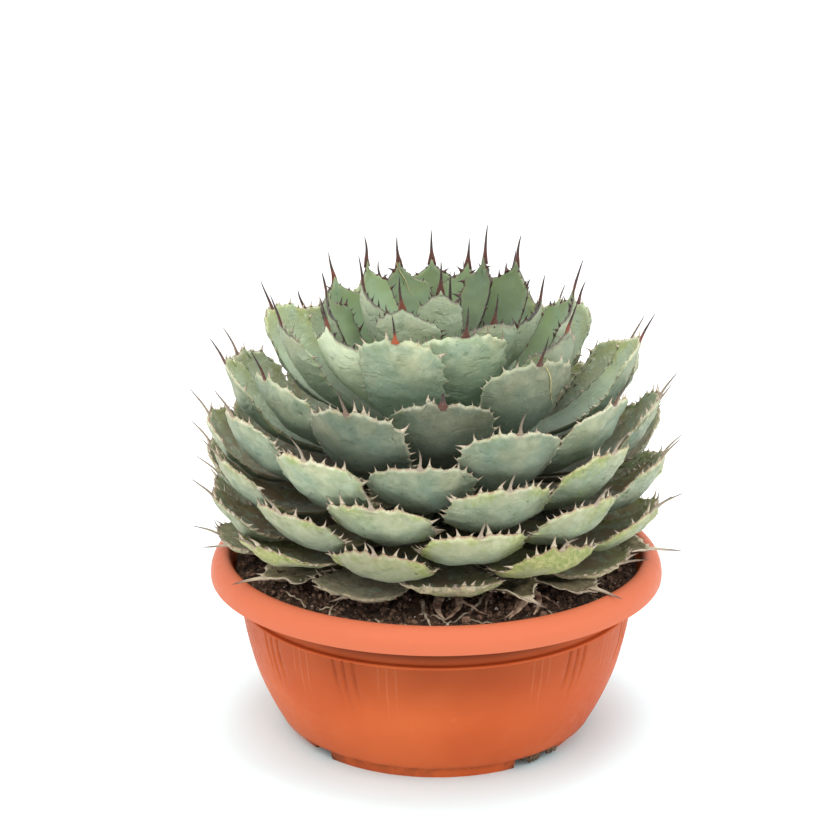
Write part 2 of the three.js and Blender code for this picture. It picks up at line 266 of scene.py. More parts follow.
def addNode(tree, kind, *values, **more):
    # a node with its settings and links; a sum or product of more than two values becomes a chain
    nodeType, settings, inputs, output = nodeKinds[kind]
    while len(values) > len(inputs):
        values = (addNode(tree, kind, *values[:2]), *values[2:])
    node = tree.nodes.new(nodeType)
    for key, value in {**settings, **more}.items():
        setattr(node, key, value)
    setInputs(node, dict(zip(inputs, values)))
    return node.outputs[output]


def newMaterial(name, *stored):
    # a material, its shader, addNode for its nodes, the place in metres, and values stored on the mesh
    material = bpy.data.materials.new(name)
    material.use_nodes = True
    add = functools.partial(addNode, material.node_tree)
    shader = material.node_tree.nodes["Principled BSDF"]
    return material, shader, add, add("place"), *[add("stored", attribute_name=key) for key in stored]


def layered(add, look, colour, *layers):
    # colours over one another, each with its share; a colour is a name in the look or a node's output
    for share, over in layers:
        under, over = [look[c] if isinstance(c, str) else c for c in (colour, over)]
        colour = add("mix", share, under, over)
    return colour


# Leaf skin: thick waxy epidermis with a pale bloom, grown, not made. The bloom scatters light,
# so it looks matt and powdery, greener where rain or a neighbour has rubbed it off.

skinLook = {
    "bloom": "9CA283",        # pale glaucous outer face
    "bloomBlue": "7F947F",    # bluer patches
    "outerLow": "62766A",     # outer face below: thinner bloom and painted shade
    "youngPale": "B9C3A8",    # outer face of the smallest leaves
    "oldBloom": "A4A078",     # warmer on the oldest leaves
    "rubbed": "6C7E56",       # where the bloom is gone
    "powder": "B6BC9C",       # where it is thickest
    "lip": "CBCDB0",          # pale rounded margin under the teeth
    "inner": "AABD9F",        # upper face near the tip
    "innerShade": "94AC9C",   # upper face towards the root, blue-grey
    "heart": "6E8459",        # upper face of a young leaf, still green
    "heartBlue": "70896C",
    "innerWarm": "9FA86C",    # yellow-green under the top edge of the upper face
    "stain": "A08867",        # dirt and dried sap low on the upper faces
    "scurf": "CFCFBA",        # pale scurf where drops have dried
    "yellow": "AFAF6A",       # ageing leaf, mottled with olive
    "olive": "8C9748",
    "dry": "A5866F",          # dried tissue along old top edges and round old spines
    "scab": "6E5442",         # thin brown line along a margin between the teeth
    # painted shade in the creases of wrinkles
    "wrinkle": "5B6A50",
    "midline": "4F5E46",
    "scar": "4E4C38",         # small dark specks
    "pale": "CDD5C4",         # pale specks
    "tan": "BBAE90",          # leaf that has dried up
    "tanGrey": "86806A",
    "roughness": 0.58,
    "mottle": 24.0,           # sizes of hills in mm
    "fleck": 4.5,
}

hornLook = {
    "youngBase": "552A1E",    # oxblood foot of a young spine
    "youngShaft": "33201C",
    "youngTip": "1D1716",
    "oldBase": "C9BBA4",      # bleached teeth and spines of old leaves
    "oldShaft": "B0A08A",
    "oldTip": "57483F",
    "bright": "A44C28",       # the few spines with an orange-red foot
    "dust": "6E5A50",
}


def makeSkin():
    (material, shader, add, where, age, inner, margin, along, horn, hornAge, hornAlong, bright, yellowing, tipStain,
     shade, withered, heartGreen) = newMaterial(
        "Waxy agave skin", "leafAge", "innerFace", "marginDistance", "alongLeaf", "horn", "hornAge", "hornAlong",
        "brightFoot", "yellowing", "tipStain", "leafShade", "withered", "heartGreen")
    place = add("storedPlace", attribute_name="leafPlace")
    # the scale of noise is 1000 mm over the size of its hills
    mottle = add("noise", where, 1000 / skinLook["mottle"], 4, 0.55)
    fleck = add("noise", where, 1000 / skinLook["fleck"], 5, 0.62, 0.4)
    fine = add("noise", where, 1000 / 1.3, 3, 0.6)
    blotch = add("noise", where, 1000 / 9, 2, 0.5, 0.2)
    drift = add("noise", where, 1000 / 13, 5, 0.65, 0.5)
    # wrinkles run across the leaf, in groups and on the outer face only
    wrinkle = add("noise", add("stretch", place, (0.4, 1.1, 1.0)), 1000 / 5.5, 3, 0.5, 0.8)
    groups = add("noise", where, 1000 / 15, 2)
    crease = add("multiply", (wrinkle, 0.5, 0.68), add("multiply", (groups, 0.42, 0.6), (inner, 0, 0.6, 1, 0.12)))

    # the outer face, bluer and darker lower down: partly thinner bloom, partly painted shade
    outer = layered(add, skinLook, "bloom",
                    ((mottle, 0.36, 0.66), "bloomBlue"),
                    ((fleck, 0.54, 0.78, 0, 0.5), "rubbed"),
                    ((along, 0.95, 0.6, 0, 0.55), "bloomBlue"),
                    ((age, 0.2, 0.8, 0, 0.5), "oldBloom"),
                    ((blotch, 0.48, 0.68, 0, 0.26), "rubbed"),
                    ((blotch, 0.5, 0.34, 0, 0.32), "powder"),
                    ((along, 0.96, 0.56, 0, 0.85), "outerLow"),
                    (add("multiply", heartGreen, 0.6), "youngPale"))
    warm = add("multiply", (margin, 1, 26, 1, 0), (mottle, 0.66, 0.42, 0, 0.95), (along, 0.6, 0.88, 0.2, 1))
    stain = add("multiply", (along, 1.06, 0.76), (drift, 0.38, 0.56, 0.15, 1), (age, 0.1, 0.5, 0.15, 0.95))
    scurf = add("multiply", (drift, 0.52, 0.4), (fleck, 0.48, 0.58, 0, 0.85), (age, 0.05, 0.3))
    upper = layered(add, skinLook, "innerShade",
                    ((along, 0.35, 0.85), "inner"),
                    ((mottle, 0.45, 0.75, 0, 0.4), "bloomBlue"),
                    (warm, "innerWarm"), (stain, "stain"), (scurf, "scurf"),
                    (add("multiply", heartGreen, 0.85),
                     layered(add, skinLook, "heart", ((mottle, 0.38, 0.66, 0, 0.75), "heartBlue"))))
    side = add("absolute", add("sideways", place))
    dash = add("multiply", (side, 0.0008, 0.003, 1, 0), (mottle, 0.46, 0.58), (wrinkle, 0.55, 0.66, 0, 0.4))
    lip = add("multiply", (margin, 0.4, 3.6, 0.95, 0), (age, 0, 0.12, 0.2, 1))

    # ageing: yellow patches that start at the margins, then dried tissue along the top edge
    patch = add("add", (mottle, 0.3, 0.7, -0.34, 0.34), yellowing, (margin, 0, 18, 0.34, -0.14),
                (fleck, 0.35, 0.65, -0.09, 0.09))
    scab = add("multiply", (margin, 0.1, 1.3, 1, 0), (fine, 0.42, 0.56, 0, 0.8), (age, 0, 0.15))
    dry = add("maximum", add("multiply", (margin, 0.2, 2.4, 1, 0),
                             (add("add", add("multiply", age, 0.35), fleck), 0.55, 0.72, 0, 0.85)),
              add("multiply", tipStain, (fleck, 0.3, 0.6, 0.35, 1)))
    gone = add("add", withered, add("add", (mottle, 0.3, 0.7, -0.3, 0.3), (margin, 0, 14, 0.2, -0.1)))
    # specks: dark ones 1 mm wide in loose groups, pale ones on the upper faces
    ragged = add("add", add("cells", where, 150), add("multiply", fine, 0.25))
    spot = add("multiply", (ragged, 0.24, 0.36, 1, 0), (mottle, 0.5, 0.6, 0, 0.8), (age, 0.2, 0.7, 0.35, 1))
    dot = add("multiply", (add("cells", where, 125), 0.13, 0.24, 1, 0), (fleck, 0.48, 0.6, 0, 0.8),
              (inner, 0.2, 0.9, 0.2, 1), (heartGreen, 0, 0.8, 1, 0))
    skin = layered(add, skinLook, add("mix", inner, outer, upper),
                   # painted shade in the creases of the wrinkles
                   (add("multiply", crease, 0.16), "wrinkle"),
                   (add("multiply", dash, (inner, 0, 0.5, 1, 0)), "midline"),
                   (lip, "lip"),
                   ((patch, 0.15, 1.1, 0, 0.88), layered(add, skinLook, "yellow", ((fleck, 0.42, 0.58), "olive"))),
                   (scab, "scab"), (dry, "dry"),
                   ((gone, 0.3, 0.75, 0, 0.92), layered(add, skinLook, "tan", ((fleck, 0.36, 0.62), "tanGrey"))),
                   (spot, "scar"), (dot, "pale"))
    # painted light and shade: each leaf's tone with its painted light, and darker towards the root, where the leaves
    # shade one another
    skin = add("dim", skin, add("multiply", shade, (along, 0.4, 0.8, 0.6, 1)))

    # horn of the spines, teeth and the thin line along young margins
    young = layered(add, hornLook, "youngBase", ((hornAlong, 0.05, 0.4), "youngShaft"),
                    ((hornAlong, 0.4, 0.9), "youngTip"))
    old = layered(add, hornLook, "oldBase", ((hornAlong, 0.05, 0.6), "oldShaft"), ((hornAlong, 0.5, 0.95), "oldTip"))
    shell = layered(add, hornLook, young, (hornAge, old),
                    (add("multiply", bright, (hornAlong, 0.06, 0.3, 1, 0)), "bright"),
                    ((fine, 0.45, 0.7, 0, 0.35), "dust"))

    # skin texture: dents and wrinkles under half a millimetre deep, shallower on the young upper faces
    relief = add("subtract", add("add", add("multiply", fleck, 0.75), add("multiply", fine, 0.15)),
                 add("multiply", add("add", crease, dash), 0.4), add("multiply", blotch, 0.4))
    relief = add("multiply", relief, (add("multiply", heartGreen, inner), 0, 1, 1, 0.25))
    setInputs(shader, {
        "Base Color": add("mix", horn, skin, shell),
        "Roughness": add("add", (horn, 0, 1, skinLook["roughness"], 0.42), (fleck, 0.3, 0.7, -0.06, 0.1)),
        "IOR": 1.42, "Sheen Weight": 0.08, "Sheen Roughness": 0.6,
        "Normal": add("bump", relief, 0.0019, 0.85),
    })
    return material


dryLook = {
    "straw": "B3A687", "olive": "7C775A", "brown": "5A4636", "pink": "D8C9B2", "dark": "3B2D24", "spine": "6E5A52",
    "fibre": 1.8,  # mm between fibres
}


def makeDriedSkin():
    # Dried agave leaf: shrunken fibrous tissue, matt, streaked along its fibres.
    material, shader, add, where, margin, horn, hornAlong = newMaterial(
        "Dried agave leaf", "marginDistance", "horn", "hornAlong")
    mottle = add("noise", where, 1000 / 20, 4, 0.6)
    blotch = add("noise", where, 1000 / 6, 5, 0.65)
    place = add("stretch", add("storedPlace", attribute_name="leafPlace"), (1.0, 0.08, 1.0))
    fibre = add("noise", place, 1000 / dryLook["fibre"], 3, 0.6)
    edge = add("subtract", (margin, 0.3, 6, 1, 0), (blotch, 0.3, 0.6, 0, 0.6))
    skin = layered(add, dryLook, "straw", ((mottle, 0.35, 0.62), "olive"), ((fibre, 0.45, 0.72, 0, 0.6), "brown"),
                   ((blotch, 0.58, 0.66, 0, 0.85), "dark"), ((edge, 0.1, 0.35, 0, 0.9), "pink"))
    shell = layered(add, dryLook, "pink", ((hornAlong, 0.1, 0.9), "spine"))
    height = add("add", add("multiply", fibre, 0.6), add("multiply", mottle, 0.4))
    setInputs(shader, {"Base Color": add("mix", horn, skin, shell), "Roughness": 0.85,
                       "Normal": add("bump", height, 0.002, 0.8)})
    return material


# Pot: injection-moulded polypropylene, terracotta orange. A fine satin face from the mould, a rim paler with
# painted sheen, dust, pale ridges, a painted highlight on the ledge, painted shade in the neck and under the ledge,
# and dirt with painted shade at the seam above the foot.

potLook = {
    # shade is painted shade, rim is the rim paler with painted sheen, dust also paints the ledge highlight, the dark
    # brown is dirt and painted shade
    "body": "C95F30", "bodyDeep": "BC5226", "rim": "C76A4A", "shade": "521B02", "dust": "E08A62",
    "grime": "4A3226", "roughness": 0.46,
}


def makePlastic():
    material, shader, add, where, grime, ridge, paintedRimSheen, paintedShade = newMaterial(
        "Moulded terracotta polypropylene", "grime", "ridge", "paintedRimSheen", "paintedShade")
    cloud = add("noise", where, 1000 / 95, 3, 0.5)
    scuff = add("noise", where, 1000 / 7, 5, 0.65, 0.6)
    grain = add("noise", where, 1000 / 0.9, 2, 0.5)
    patchyGrimeAndShade = add("multiply", grime, (scuff, 0.35, 0.6, 0.2, 1))
    # layers: cloudy tone, painted sheen on the rim, dust, pale ridges and a painted highlight on the ledge, painted
    # shade, dirt with painted shade
    colour = layered(add, potLook, "body", ((cloud, 0.35, 0.68), "bodyDeep"), (paintedRimSheen, "rim"),
                     ((scuff, 0.6, 0.8, 0, 0.2), "dust"), ((ridge, 0.1, 1, 0, 0.25), "dust"), (paintedShade, "shade"),
                     (patchyGrimeAndShade, "grime"))
    usual = potLook["roughness"]
    height = add("add", grain, add("multiply", cloud, 0.6))
    setInputs(shader, {"Base Color": colour, "Roughness": (scuff, 0.3, 0.75, usual - 0.05, usual + 0.12),
                       "IOR": 1.45, "Specular IOR Level": 0.15, "Normal": add("bump", height, 0.0002, 0.3)})
    return material


soilLook = {"damp": "261A15", "brown": "A0795C", "dark": "3A281E", "pale": "BFA68F"}


def makeSoilLook():
    # Peat and bark compost: dark, damp and coarse, with crumbs 2 to 6 mm wide.
    material, shader, add, where = newMaterial("Coarse peat compost")
    crumb = add("noise", where, 1000 / 5, 6, 0.7, 0.3)
    fine = add("noise", where, 1000 / 1.3, 4, 0.7)
    colour = layered(add, soilLook, "damp", ((crumb, 0.35, 0.7), "brown"), ((fine, 0.35, 0.6, 0, 0.7), "dark"),
                     ((fine, 0.64, 0.72, 0, 0.75), "pale"))
    height = add("add", crumb, add("multiply", fine, 0.5))
    setInputs(shader, {"Base Color": colour, "Roughness": 0.88, "Normal": add("bump", height, 0.004, 1.0)})
    return material


def makePlain(name, light, dark, size, roughness, depth):
    # a rough natural surface in two shades, with hills of size mm
    material, shader, add, where = newMaterial(name)
    shade = add("noise", where, 1000 / size, 4, 0.6)
    setInputs(shader, {"Base Color": add("mix", (shade, 0.35, 0.65), light, dark), "Roughness": roughness,
                       "Normal": add("bump", shade, depth * mm, 0.7)})
    return material


# Leaves: the same rule of growth as the solids follow

rosette = {
    "leaves": 84, "firstYoung": 50, "firstInner": 72, "driedAges": [-8, -7, -6, -4, -3, -2, -1, 0],
    "turn": -137.9, "firstAzimuth": 27.4, "frontBackShare": 0.87, "centreY": 3.0,
    "heartSink": 7.0, "stemGap": 0.3,
    "tipHeight": [[-8, 143.5], [0, 147], [1, 151], [8, 168], [20, 203], [40, 254], [60, 319], [72, 344], [83, 359]],
    "tipRadius": [[-8, 158], [0, 160], [12, 175], [32, 176], [48, 169], [57, 152], [65, 124], [70, 102],
                  [77, 82], [80, 58], [83, 42]],
    "rootHeight": [[-8, 139.5], [0, 142.5], [1, 148], [83, 254]],
    "stemRadius": [[134, 37], [139, 41], [160, 40], [200, 34], [230, 27], [255, 15], [266, 2]],
    "rootSlope": [[-8, -3], [0, -3], [1, -2], [20, -3], [42, 5], [55, 12], [68, 34], [76, 52], [83, 74]],
    "tipSlope": [[-8, 2], [0, 4], [1, 14], [8, 54], [15, 68], [42, 74], [60, 78], [83, 86]],
    "tipHook": [[-8, 0.2], [1, 0.24], [8, 0.28], [20, 0.42], [42, 0.48], [60, 0.45], [83, 0.4]],
    "spineSlope": [[-8, -6], [0, 2], [8, 24], [21, 44], [42, 54], [55, 60], [68, 72], [83, 84]],
    "leafWidth": [[-8, 58], [0, 64], [15, 73], [30, 76], [60, 75], [70, 66], [76, 52], [80, 40], [83, 30]],
    "leafCup": [[-8, 0.004], [0, 0.008], [20, 0.012], [60, 0.014], [76, 0.022], [83, 0.034]],
}

nudges = {  # how far a leaf of the photo is from the rule: azimuth, height, radius
    -6: [0, -2, 0], -3: [0, 3, 8], 0: [0, 2, 0], 2: [0, 0, -2], 3: [0, -4, 0], 6: [0, -1, 2], 8: [1, -3, 0],
    9: [0, 3, 0], 10: [0, 3, -1.95], 11: [-3, 3, 0], 12: [0, 0, -4], 13: [-1, 7, -3], 14: [0, 1, 0],
    15: [0, 1, 0], 16: [3, 0, 0], 18: [1, -2, 0], 23: [0, 0, -1], 26: [1, 2, 0], 29: [-5, 0, 0],
    32: [0, 2, 0], 33: [0, 1, 0], 37: [0, 9, 0], 39: [0, 2, 0], 40: [0, -4, 0], 42: [0, -6.5, 0],
    44: [0, 5, -2], 45: [-4, 1, 0], 47: [-4, 1, 0], 49: [2, 6, -4], 50: [3, 4, 0], 52: [-2, -9, 0],
    55: [-1, -7, 0], 58: [-8, -14, 0], 61: [-4, 0, -5], 62: [4, -3, -4], 63: [5.6, 10, -2],
    65: [-10, 3, -4], 66: [0, -4, 0], 68: [2, 0, 0], 69: [-3, 2, 0], 70: [0, 4, 0], 71: [-5, -6, 10],
    72: [4, 6, 0], 73: [-12, -5, 0], 74: [0, -5, -8], 75: [8, 7, -3], 76: [-6, 0, 0], 77: [-7, 0, 0],
    78: [0, -7, 7], 79: [2, 2, -5], 81: [-14, 0, 0], 82: [-10, 0, 22], 83: [32, 4, 7],
}

greenForm = {"rootThickness": 8.0, "tipThickness": 2.6, "lip": 2.7, "edge": 1.1, "spine": 23.0, "wave": 0.0}
driedForm = {"rootThickness": 4.0, "tipThickness": 1.6, "lip": 1.6, "edge": 0.8, "spine": 23.0, "wave": 2.5}

leafDetail = {
    "rows": 40, "columns": 42,     # points along and across one face
    "broad": [[0.35, 0], [0.37, 0.14], [0.41, 0.28], [0.55, 0.38], [0.72, 0.48], [0.86, 0.57], [0.95, 0.66],
              [0.995, 0.75], [1.0, 0.81], [0.97, 0.862], [0.89, 0.905], [0.75, 0.937], [0.53, 0.965],
              [0.27, 0.985], [0.1, 0.996], [0, 1.0]],  # share of half width and length, up the right side
    "pointed": [[0.35, 0], [0.38, 0.14], [0.44, 0.28], [0.6, 0.38], [0.78, 0.48], [0.91, 0.58], [0.98, 0.67],
                [1.0, 0.745], [0.98, 0.8], [0.9, 0.84], [0.7, 0.866], [0.46, 0.892], [0.25, 0.924],
                [0.115, 0.953], [0.05, 0.98], [0, 1.0]],
    "corner": [0.88, 0.835],       # share of the length where the side becomes the top edge, broad and pointed
    "toothGap": 7.1, "firstTooth": 0.5, "lastTooth": 6.5,
    "bumpHeight": 4.3, "bumpWidth": 2.1,
    "round": 1.1,                  # how far from the margin a face starts to round over
    "spineInside": 6.2,            # how much of the spine is in the blade
    "toothWidth": 0.21,            # half width at the foot, as a share of the tooth's length
    # heights and depths of the relief in mm; two sizes of swellings on the outer face, of dents on the upper face
    "groove": 0.6, "swellings": (1.5, 0.65), "ribs": 0.85, "print": 0.55, "dents": (0.5, 0.2),
}

# what single leaves show, by age: degrees for steeperTips, else shares
yellowLeaves = {13: 0.95, 11: 0.6, 8: 0.6, 5: 0.55, 16: 0.4, 21: 0.36, 26: 0.34, 39: 0.26, 0: 0.6, 3: 0.45,
                10: 0.4, 24: 0.2, 29: 0.2, 18: 0.3, 2: 0.6, 7: 0.5, 4: 0.45, 9: 0.4, 12: 0.4, 34: 0.2}
brightFeet = {63: 1.0, 71: 0.25, 69: 0.3, 76: 0.25, 57: 0.3, 65: 0.35}
pointedLeaves = {65: 0.8, 68: 0.1, 73: 0.35, 76: 0.6, 81: 0.85}
witheredLeaves = {3: 0.75, 8: 0.42, 6: 0.4, 5: 0.4, 1: 0.6, 2: 0.5, 4: 0.4, 7: 0.3, 9: 0.2, 10: 0.2, 11: 0.1,
                  13: -0.4}
# painted light and shade on the outer faces of single leaves: darker under overhanging neighbours, lighter where open
# to the light above
leafShades = {55: 0.42, 60: 0.66, 47: 0.8, 50: 0.56, 63: 1.22, 68: 1.4, 71: 1.6, 37: 1.24, 42: 0.82, 34: 0.97,
              21: 1.16, 16: 0.82, 13: 0.84, 65: 0.86}
# painted light and shade on the upper faces of single leaves
paintedUpperLightAndShade = {53: 1.2, 61: 1.24, 69: 1.25, 75: 0.88, 83: 0.76, 77: 0.92, 72: 0.92}
narrowLeaves = {63: 0.85, 0: 0.6, -2: 0.8, -4: 0.85}
steeperTips = {13: 28, 16: 14}
shorterSpines = {56: 0.6, 62: 0.8, 64: 0.6, 69: 0.76, 72: 0.88, 74: 0.7, 75: 0.8, 77: 0.85, 78: 0.75, 80: 0.72,
                 82: 0.74}
brokenSpines = [55]


def slopeWay(degrees):
    return np.array([math.cos(math.radians(degrees)), math.sin(math.radians(degrees))])


def curveThrough(start, first, second, end, count):
    # cubic curve: the four points weighted by (1-t)^3, 3t(1-t)^2, 3t^2(1-t) and t^3
    t = np.linspace(0, 1, count)[:, None]
    return (1 - t) ** 3 * start + 3 * t * (1 - t) ** 2 * first + 3 * t ** 2 * (1 - t) * second + t ** 3 * end


def runningLength(points):
    steps = np.linalg.norm(np.diff(points, axis=0), axis=1)
    return np.concatenate([[0], np.cumsum(steps)])


def readAt(at, run, points):
    # the columns of points read off at other places along their line
    return np.stack([np.interp(at, run, column) for column in points.T], -1)


def smoothThrough(points, count):
    # a rounded line through the points: each stretch leans on its two neighbours (Catmull-Rom), then even steps
    padded = np.vstack([2 * points[0] - points[1], points, 2 * points[-1] - points[-2]])
    t = np.linspace(0, len(points) - 1 - 1e-9, count * 4)
    k = np.floor(t).astype(int)
    t = (t - k)[:, None]
    a, b, c, d = padded[k], padded[k + 1], padded[k + 2], padded[k + 3]
    line = 0.5 * (2 * b + (c - a) * t + (2 * a - 5 * b + 4 * c - d) * t ** 2 + (3 * b - a - 3 * c + d) * t ** 3)
    run = runningLength(line)
    return readAt(np.linspace(0, run[-1], count), run, line)


def ramp(low, high, value):
    return float(np.clip((value - low) / (high - low), 0, 1))


def leafAt(age, form, sink=0.0):
    # a leaf by the rule of growth, with what the photo shows of it beyond the rule
    moreTurn, moreHeight, moreRadius = nudges.get(age, [0, 0, 0])
    turn = math.radians(rosette["firstAzimuth"] + rosette["turn"] * age + moreTurn)
    reachShare = rosette["frontBackShare"] + (1 - rosette["frontBackShare"]) * abs(math.sin(turn))
    height, slope = follow(rosette["rootHeight"], age), follow(rosette["rootSlope"], age)
    rootWay, spineWay = slopeWay(slope), slopeWay(follow(rosette["spineSlope"], age))
    tipWay = slopeWay(follow(rosette["tipSlope"], age) + steeperTips.get(age, 0))
    under = follow(rosette["stemRadius"], height - form["rootThickness"] * rootWay[0])
    stem = max(follow(rosette["stemRadius"], height), under - form["rootThickness"] * rootWay[1])
    root = np.array([stem + rosette["stemGap"] - sink, height])
    tip = np.array([follow(rosette["tipRadius"], age) * reachShare - rosette["centreY"] * math.cos(turn) + moreRadius,
                    follow(rosette["tipHeight"], age) + moreHeight])
    # midrib: a cubic curve in the leaf's own upright plane, with 12 mm straight on past the tip
    reach = np.linalg.norm(tip - root)
    rib = curveThrough(root, root + rootWay * reach * 0.42, tip - tipWay * reach * follow(rosette["tipHook"], age),
                       tip, 240)
    length = runningLength(rib)[-1]
    rib = np.vstack([rib, tip + tipWay * 12])
    run = runningLength(rib)
    youth = ramp(44, 72, age)
    point = pointedLeaves.get(age, ramp(64, 69, age))
    usualShade = 1.0 + 0.09 * chance(age, 65) + 0.12 * point
    leaf = dict(form)
    leaf.update(
        age=age, turn=turn, root=root, tip=tip, tipWay=tipWay, spineWay=spineWay,
        rib=rib, run=run, way=unit(np.gradient(rib, run, axis=0)), length=length,
        half=follow(rosette["leafWidth"], age) / 2 * narrowLeaves.get(age, 1.0),
        cup=follow(rosette["leafCup"], age),
        roll=math.radians(2.5 * chance(age, 1)),
        spine=form["spine"] * (1 + 0.1 * chance(age, 2)) * shorterSpines.get(age, 1.0),
        point=point,
        notch=(2.2 + 0.7 * chance(age, 61)) * (1 - point),
        tooth=follow([[0, 6.3], [20, 6.3], [32, 5.2], [60, 4.4], [72, 4.6]], age) + 0.4 * chance(age, 62),
        toothWide=1.12 + 0.4 * point,
        bow=1.3 * chance(age, 66),
        bump=leafDetail["bumpHeight"] * (1 - 0.62 * point),
        shaft=1.1 + 0.2 * youth,
        printDepth=11 + 4 * chance(age, 63),
        hornLine=70.0 * point + 7.0 * youth,
        broken=age in brokenSpines,
        shrivel=0.9 if age < 12 else 0.0,
        tipStain=min(ramp(68, 56, age), 0.9),
        oldness=ramp(62, 0, age),
        spineAge=min(ramp(56, 30, age), 0.62),
        toothAge=ramp(70, 64, age),
        yellow=yellowLeaves.get(age, 0.08 + 0.1 * chance(age, 64) if age < 40 else -0.15),
        withered=witheredLeaves.get(age, max(-0.5, 0.1 - age / 20)),
        shade=leafShades.get(age, usualShade), upperShade=paintedUpperLightAndShade.get(age, usualShade),
        bright=brightFeet.get(age, 0.0),
    )
    if leaf["wave"]:
        # a dried leaf
        leaf.update(cup=leaf["cup"] + 0.011, half=leaf["half"] * 0.86, oldness=1.0, tooth=4.6, toothWide=0.8,
                    notch=-2.0, point=0.6, bump=2.4, shrivel=3.0, spineAge=1.0, toothAge=1.0, shaft=1.5)
    return leaf


def placeOn(leaf, side, along, depth):
    # A leaf's face is its midrib bent round sideways with curvature cup, and rolled a little.
    # side, along and depth below the face are in mm; the result is x, y, z in mm.
    rib, way = [readAt(along, leaf["run"], leaf[key]) for key in ("rib", "way")]
    cup, share = leaf["cup"], side / leaf["half"]
    ripple = leaf["wave"] * share ** 2 * np.sin(along / leaf["length"] * 9 + leaf["age"] * 2 + np.sign(side))
    lift = (1 - np.cos(side * cup)) / cup - depth * np.cos(side * cup) + ripple
    sideways = np.sin(side * cup) / cup + depth * np.sin(side * cup)
    rolled = leaf["roll"] * np.clip(along / leaf["length"], 0, 1)
    lateral = sideways * np.cos(rolled) - lift * np.sin(rolled)
    raised = lift * np.cos(rolled) + sideways * np.sin(rolled)
    radius, height = rib[..., 0] - way[..., 1] * raised, rib[..., 1] + way[..., 0] * raised
    turn = leaf["turn"]
    return np.stack([lateral * math.cos(turn) + radius * math.sin(turn),
                     lateral * math.sin(turn) - radius * math.cos(turn), height], -1)


def marginOf(leaf, sign, seed):
    # One margin from the root to the middle of the top edge, pushed out in a peak under each tooth.
    # Gives the line's points (side, along), its outward direction, and the places of the teeth on it.
    broad, pointed = np.array(leafDetail["broad"]), np.array(leafDetail["pointed"])
    outline = (broad * (1 - leaf["point"]) + pointed * leaf["point"]) * [leaf["half"], leaf["length"]]
    line = smoothThrough(outline, 500)
    notch = leaf["notch"] * np.exp(-(line[:, 0] / 6.0) ** 2)
    line[:, 1] -= notch * (line[:, 1] > 0.8 * leaf["length"])
    run = runningLength(line)
    way = unit(np.gradient(line, run, axis=0))
    out = np.stack([way[:, 1], -way[:, 0]], 1)
    side = slice(0, 350)  # of the 500 points, those on the side, where along always grows
    first = np.interp(leafDetail["firstTooth"] * leaf["length"], line[side, 1], run[side])
    last = run[-1] - leafDetail["lastTooth"] - 3 * leaf["point"]
    count = max(3, int(round((last - first) / leafDetail["toothGap"])))
    steps = np.array([1 + 0.55 * chance(leaf["age"] * 1.7 + k, seed) for k in range(count)])
    teeth = first + np.cumsum(steps) / np.sum(steps) * (last - first)
    size = np.array([0.76 + 0.46 * chance(leaf["age"] * 2.3 + k, seed + 5) for k in range(count)])
    size *= smoothStep(first - 14, first + 16, teeth)
    apart = run[:, None] - teeth
    bump = np.sum(size * np.exp(-np.sqrt(apart ** 2 + 0.35) / leafDetail["bumpWidth"]), 1) * leaf["bump"]
    bump = bump - 0.8 + 0.65 * rough(run / 2.4, run * 0 + leaf["age"], seed)
    bump *= smoothStep(first - 14, first, run) * smoothStep(-0.5, 7, run[-1] - run)
    line = line + out * bump[:, None]
    # points crowd near the teeth and thin out towards the root
    density = 1 + 1.6 * np.sum(np.exp(-(apart / 1.7) ** 2), 1)
    density *= 0.35 + 0.65 * smoothStep(first - 30, first, run)
    return {"line": line * [sign, 1], "run": run, "out": out * [sign, 1], "teeth": teeth, "size": size,
            "density": density, "bump": bump[:, None]}


def crowdedSteps(margin, low, high, count):
    # places from low to high on a margin, closer where its density is greater
    at = np.linspace(low, high, 400)
    dense = np.interp(at, margin["run"], margin["density"])
    total = np.concatenate([[0], np.cumsum((dense[1:] + dense[:-1]) / 2 * np.diff(at))])
    return np.interp(np.linspace(0, total[-1], count), total, at)


def alongLine(margin, at, key="line"):
    return readAt(at, margin["run"], margin[key])


def cornerRun(leaf, margin):
    # where the side turns into the top edge
    corner = follow([[0, leafDetail["corner"][0]], [1, leafDetail["corner"][1]]], leaf["point"])
    index = np.argmax(margin["line"][:, 1] > corner * leaf["length"])
    return margin["run"][index]


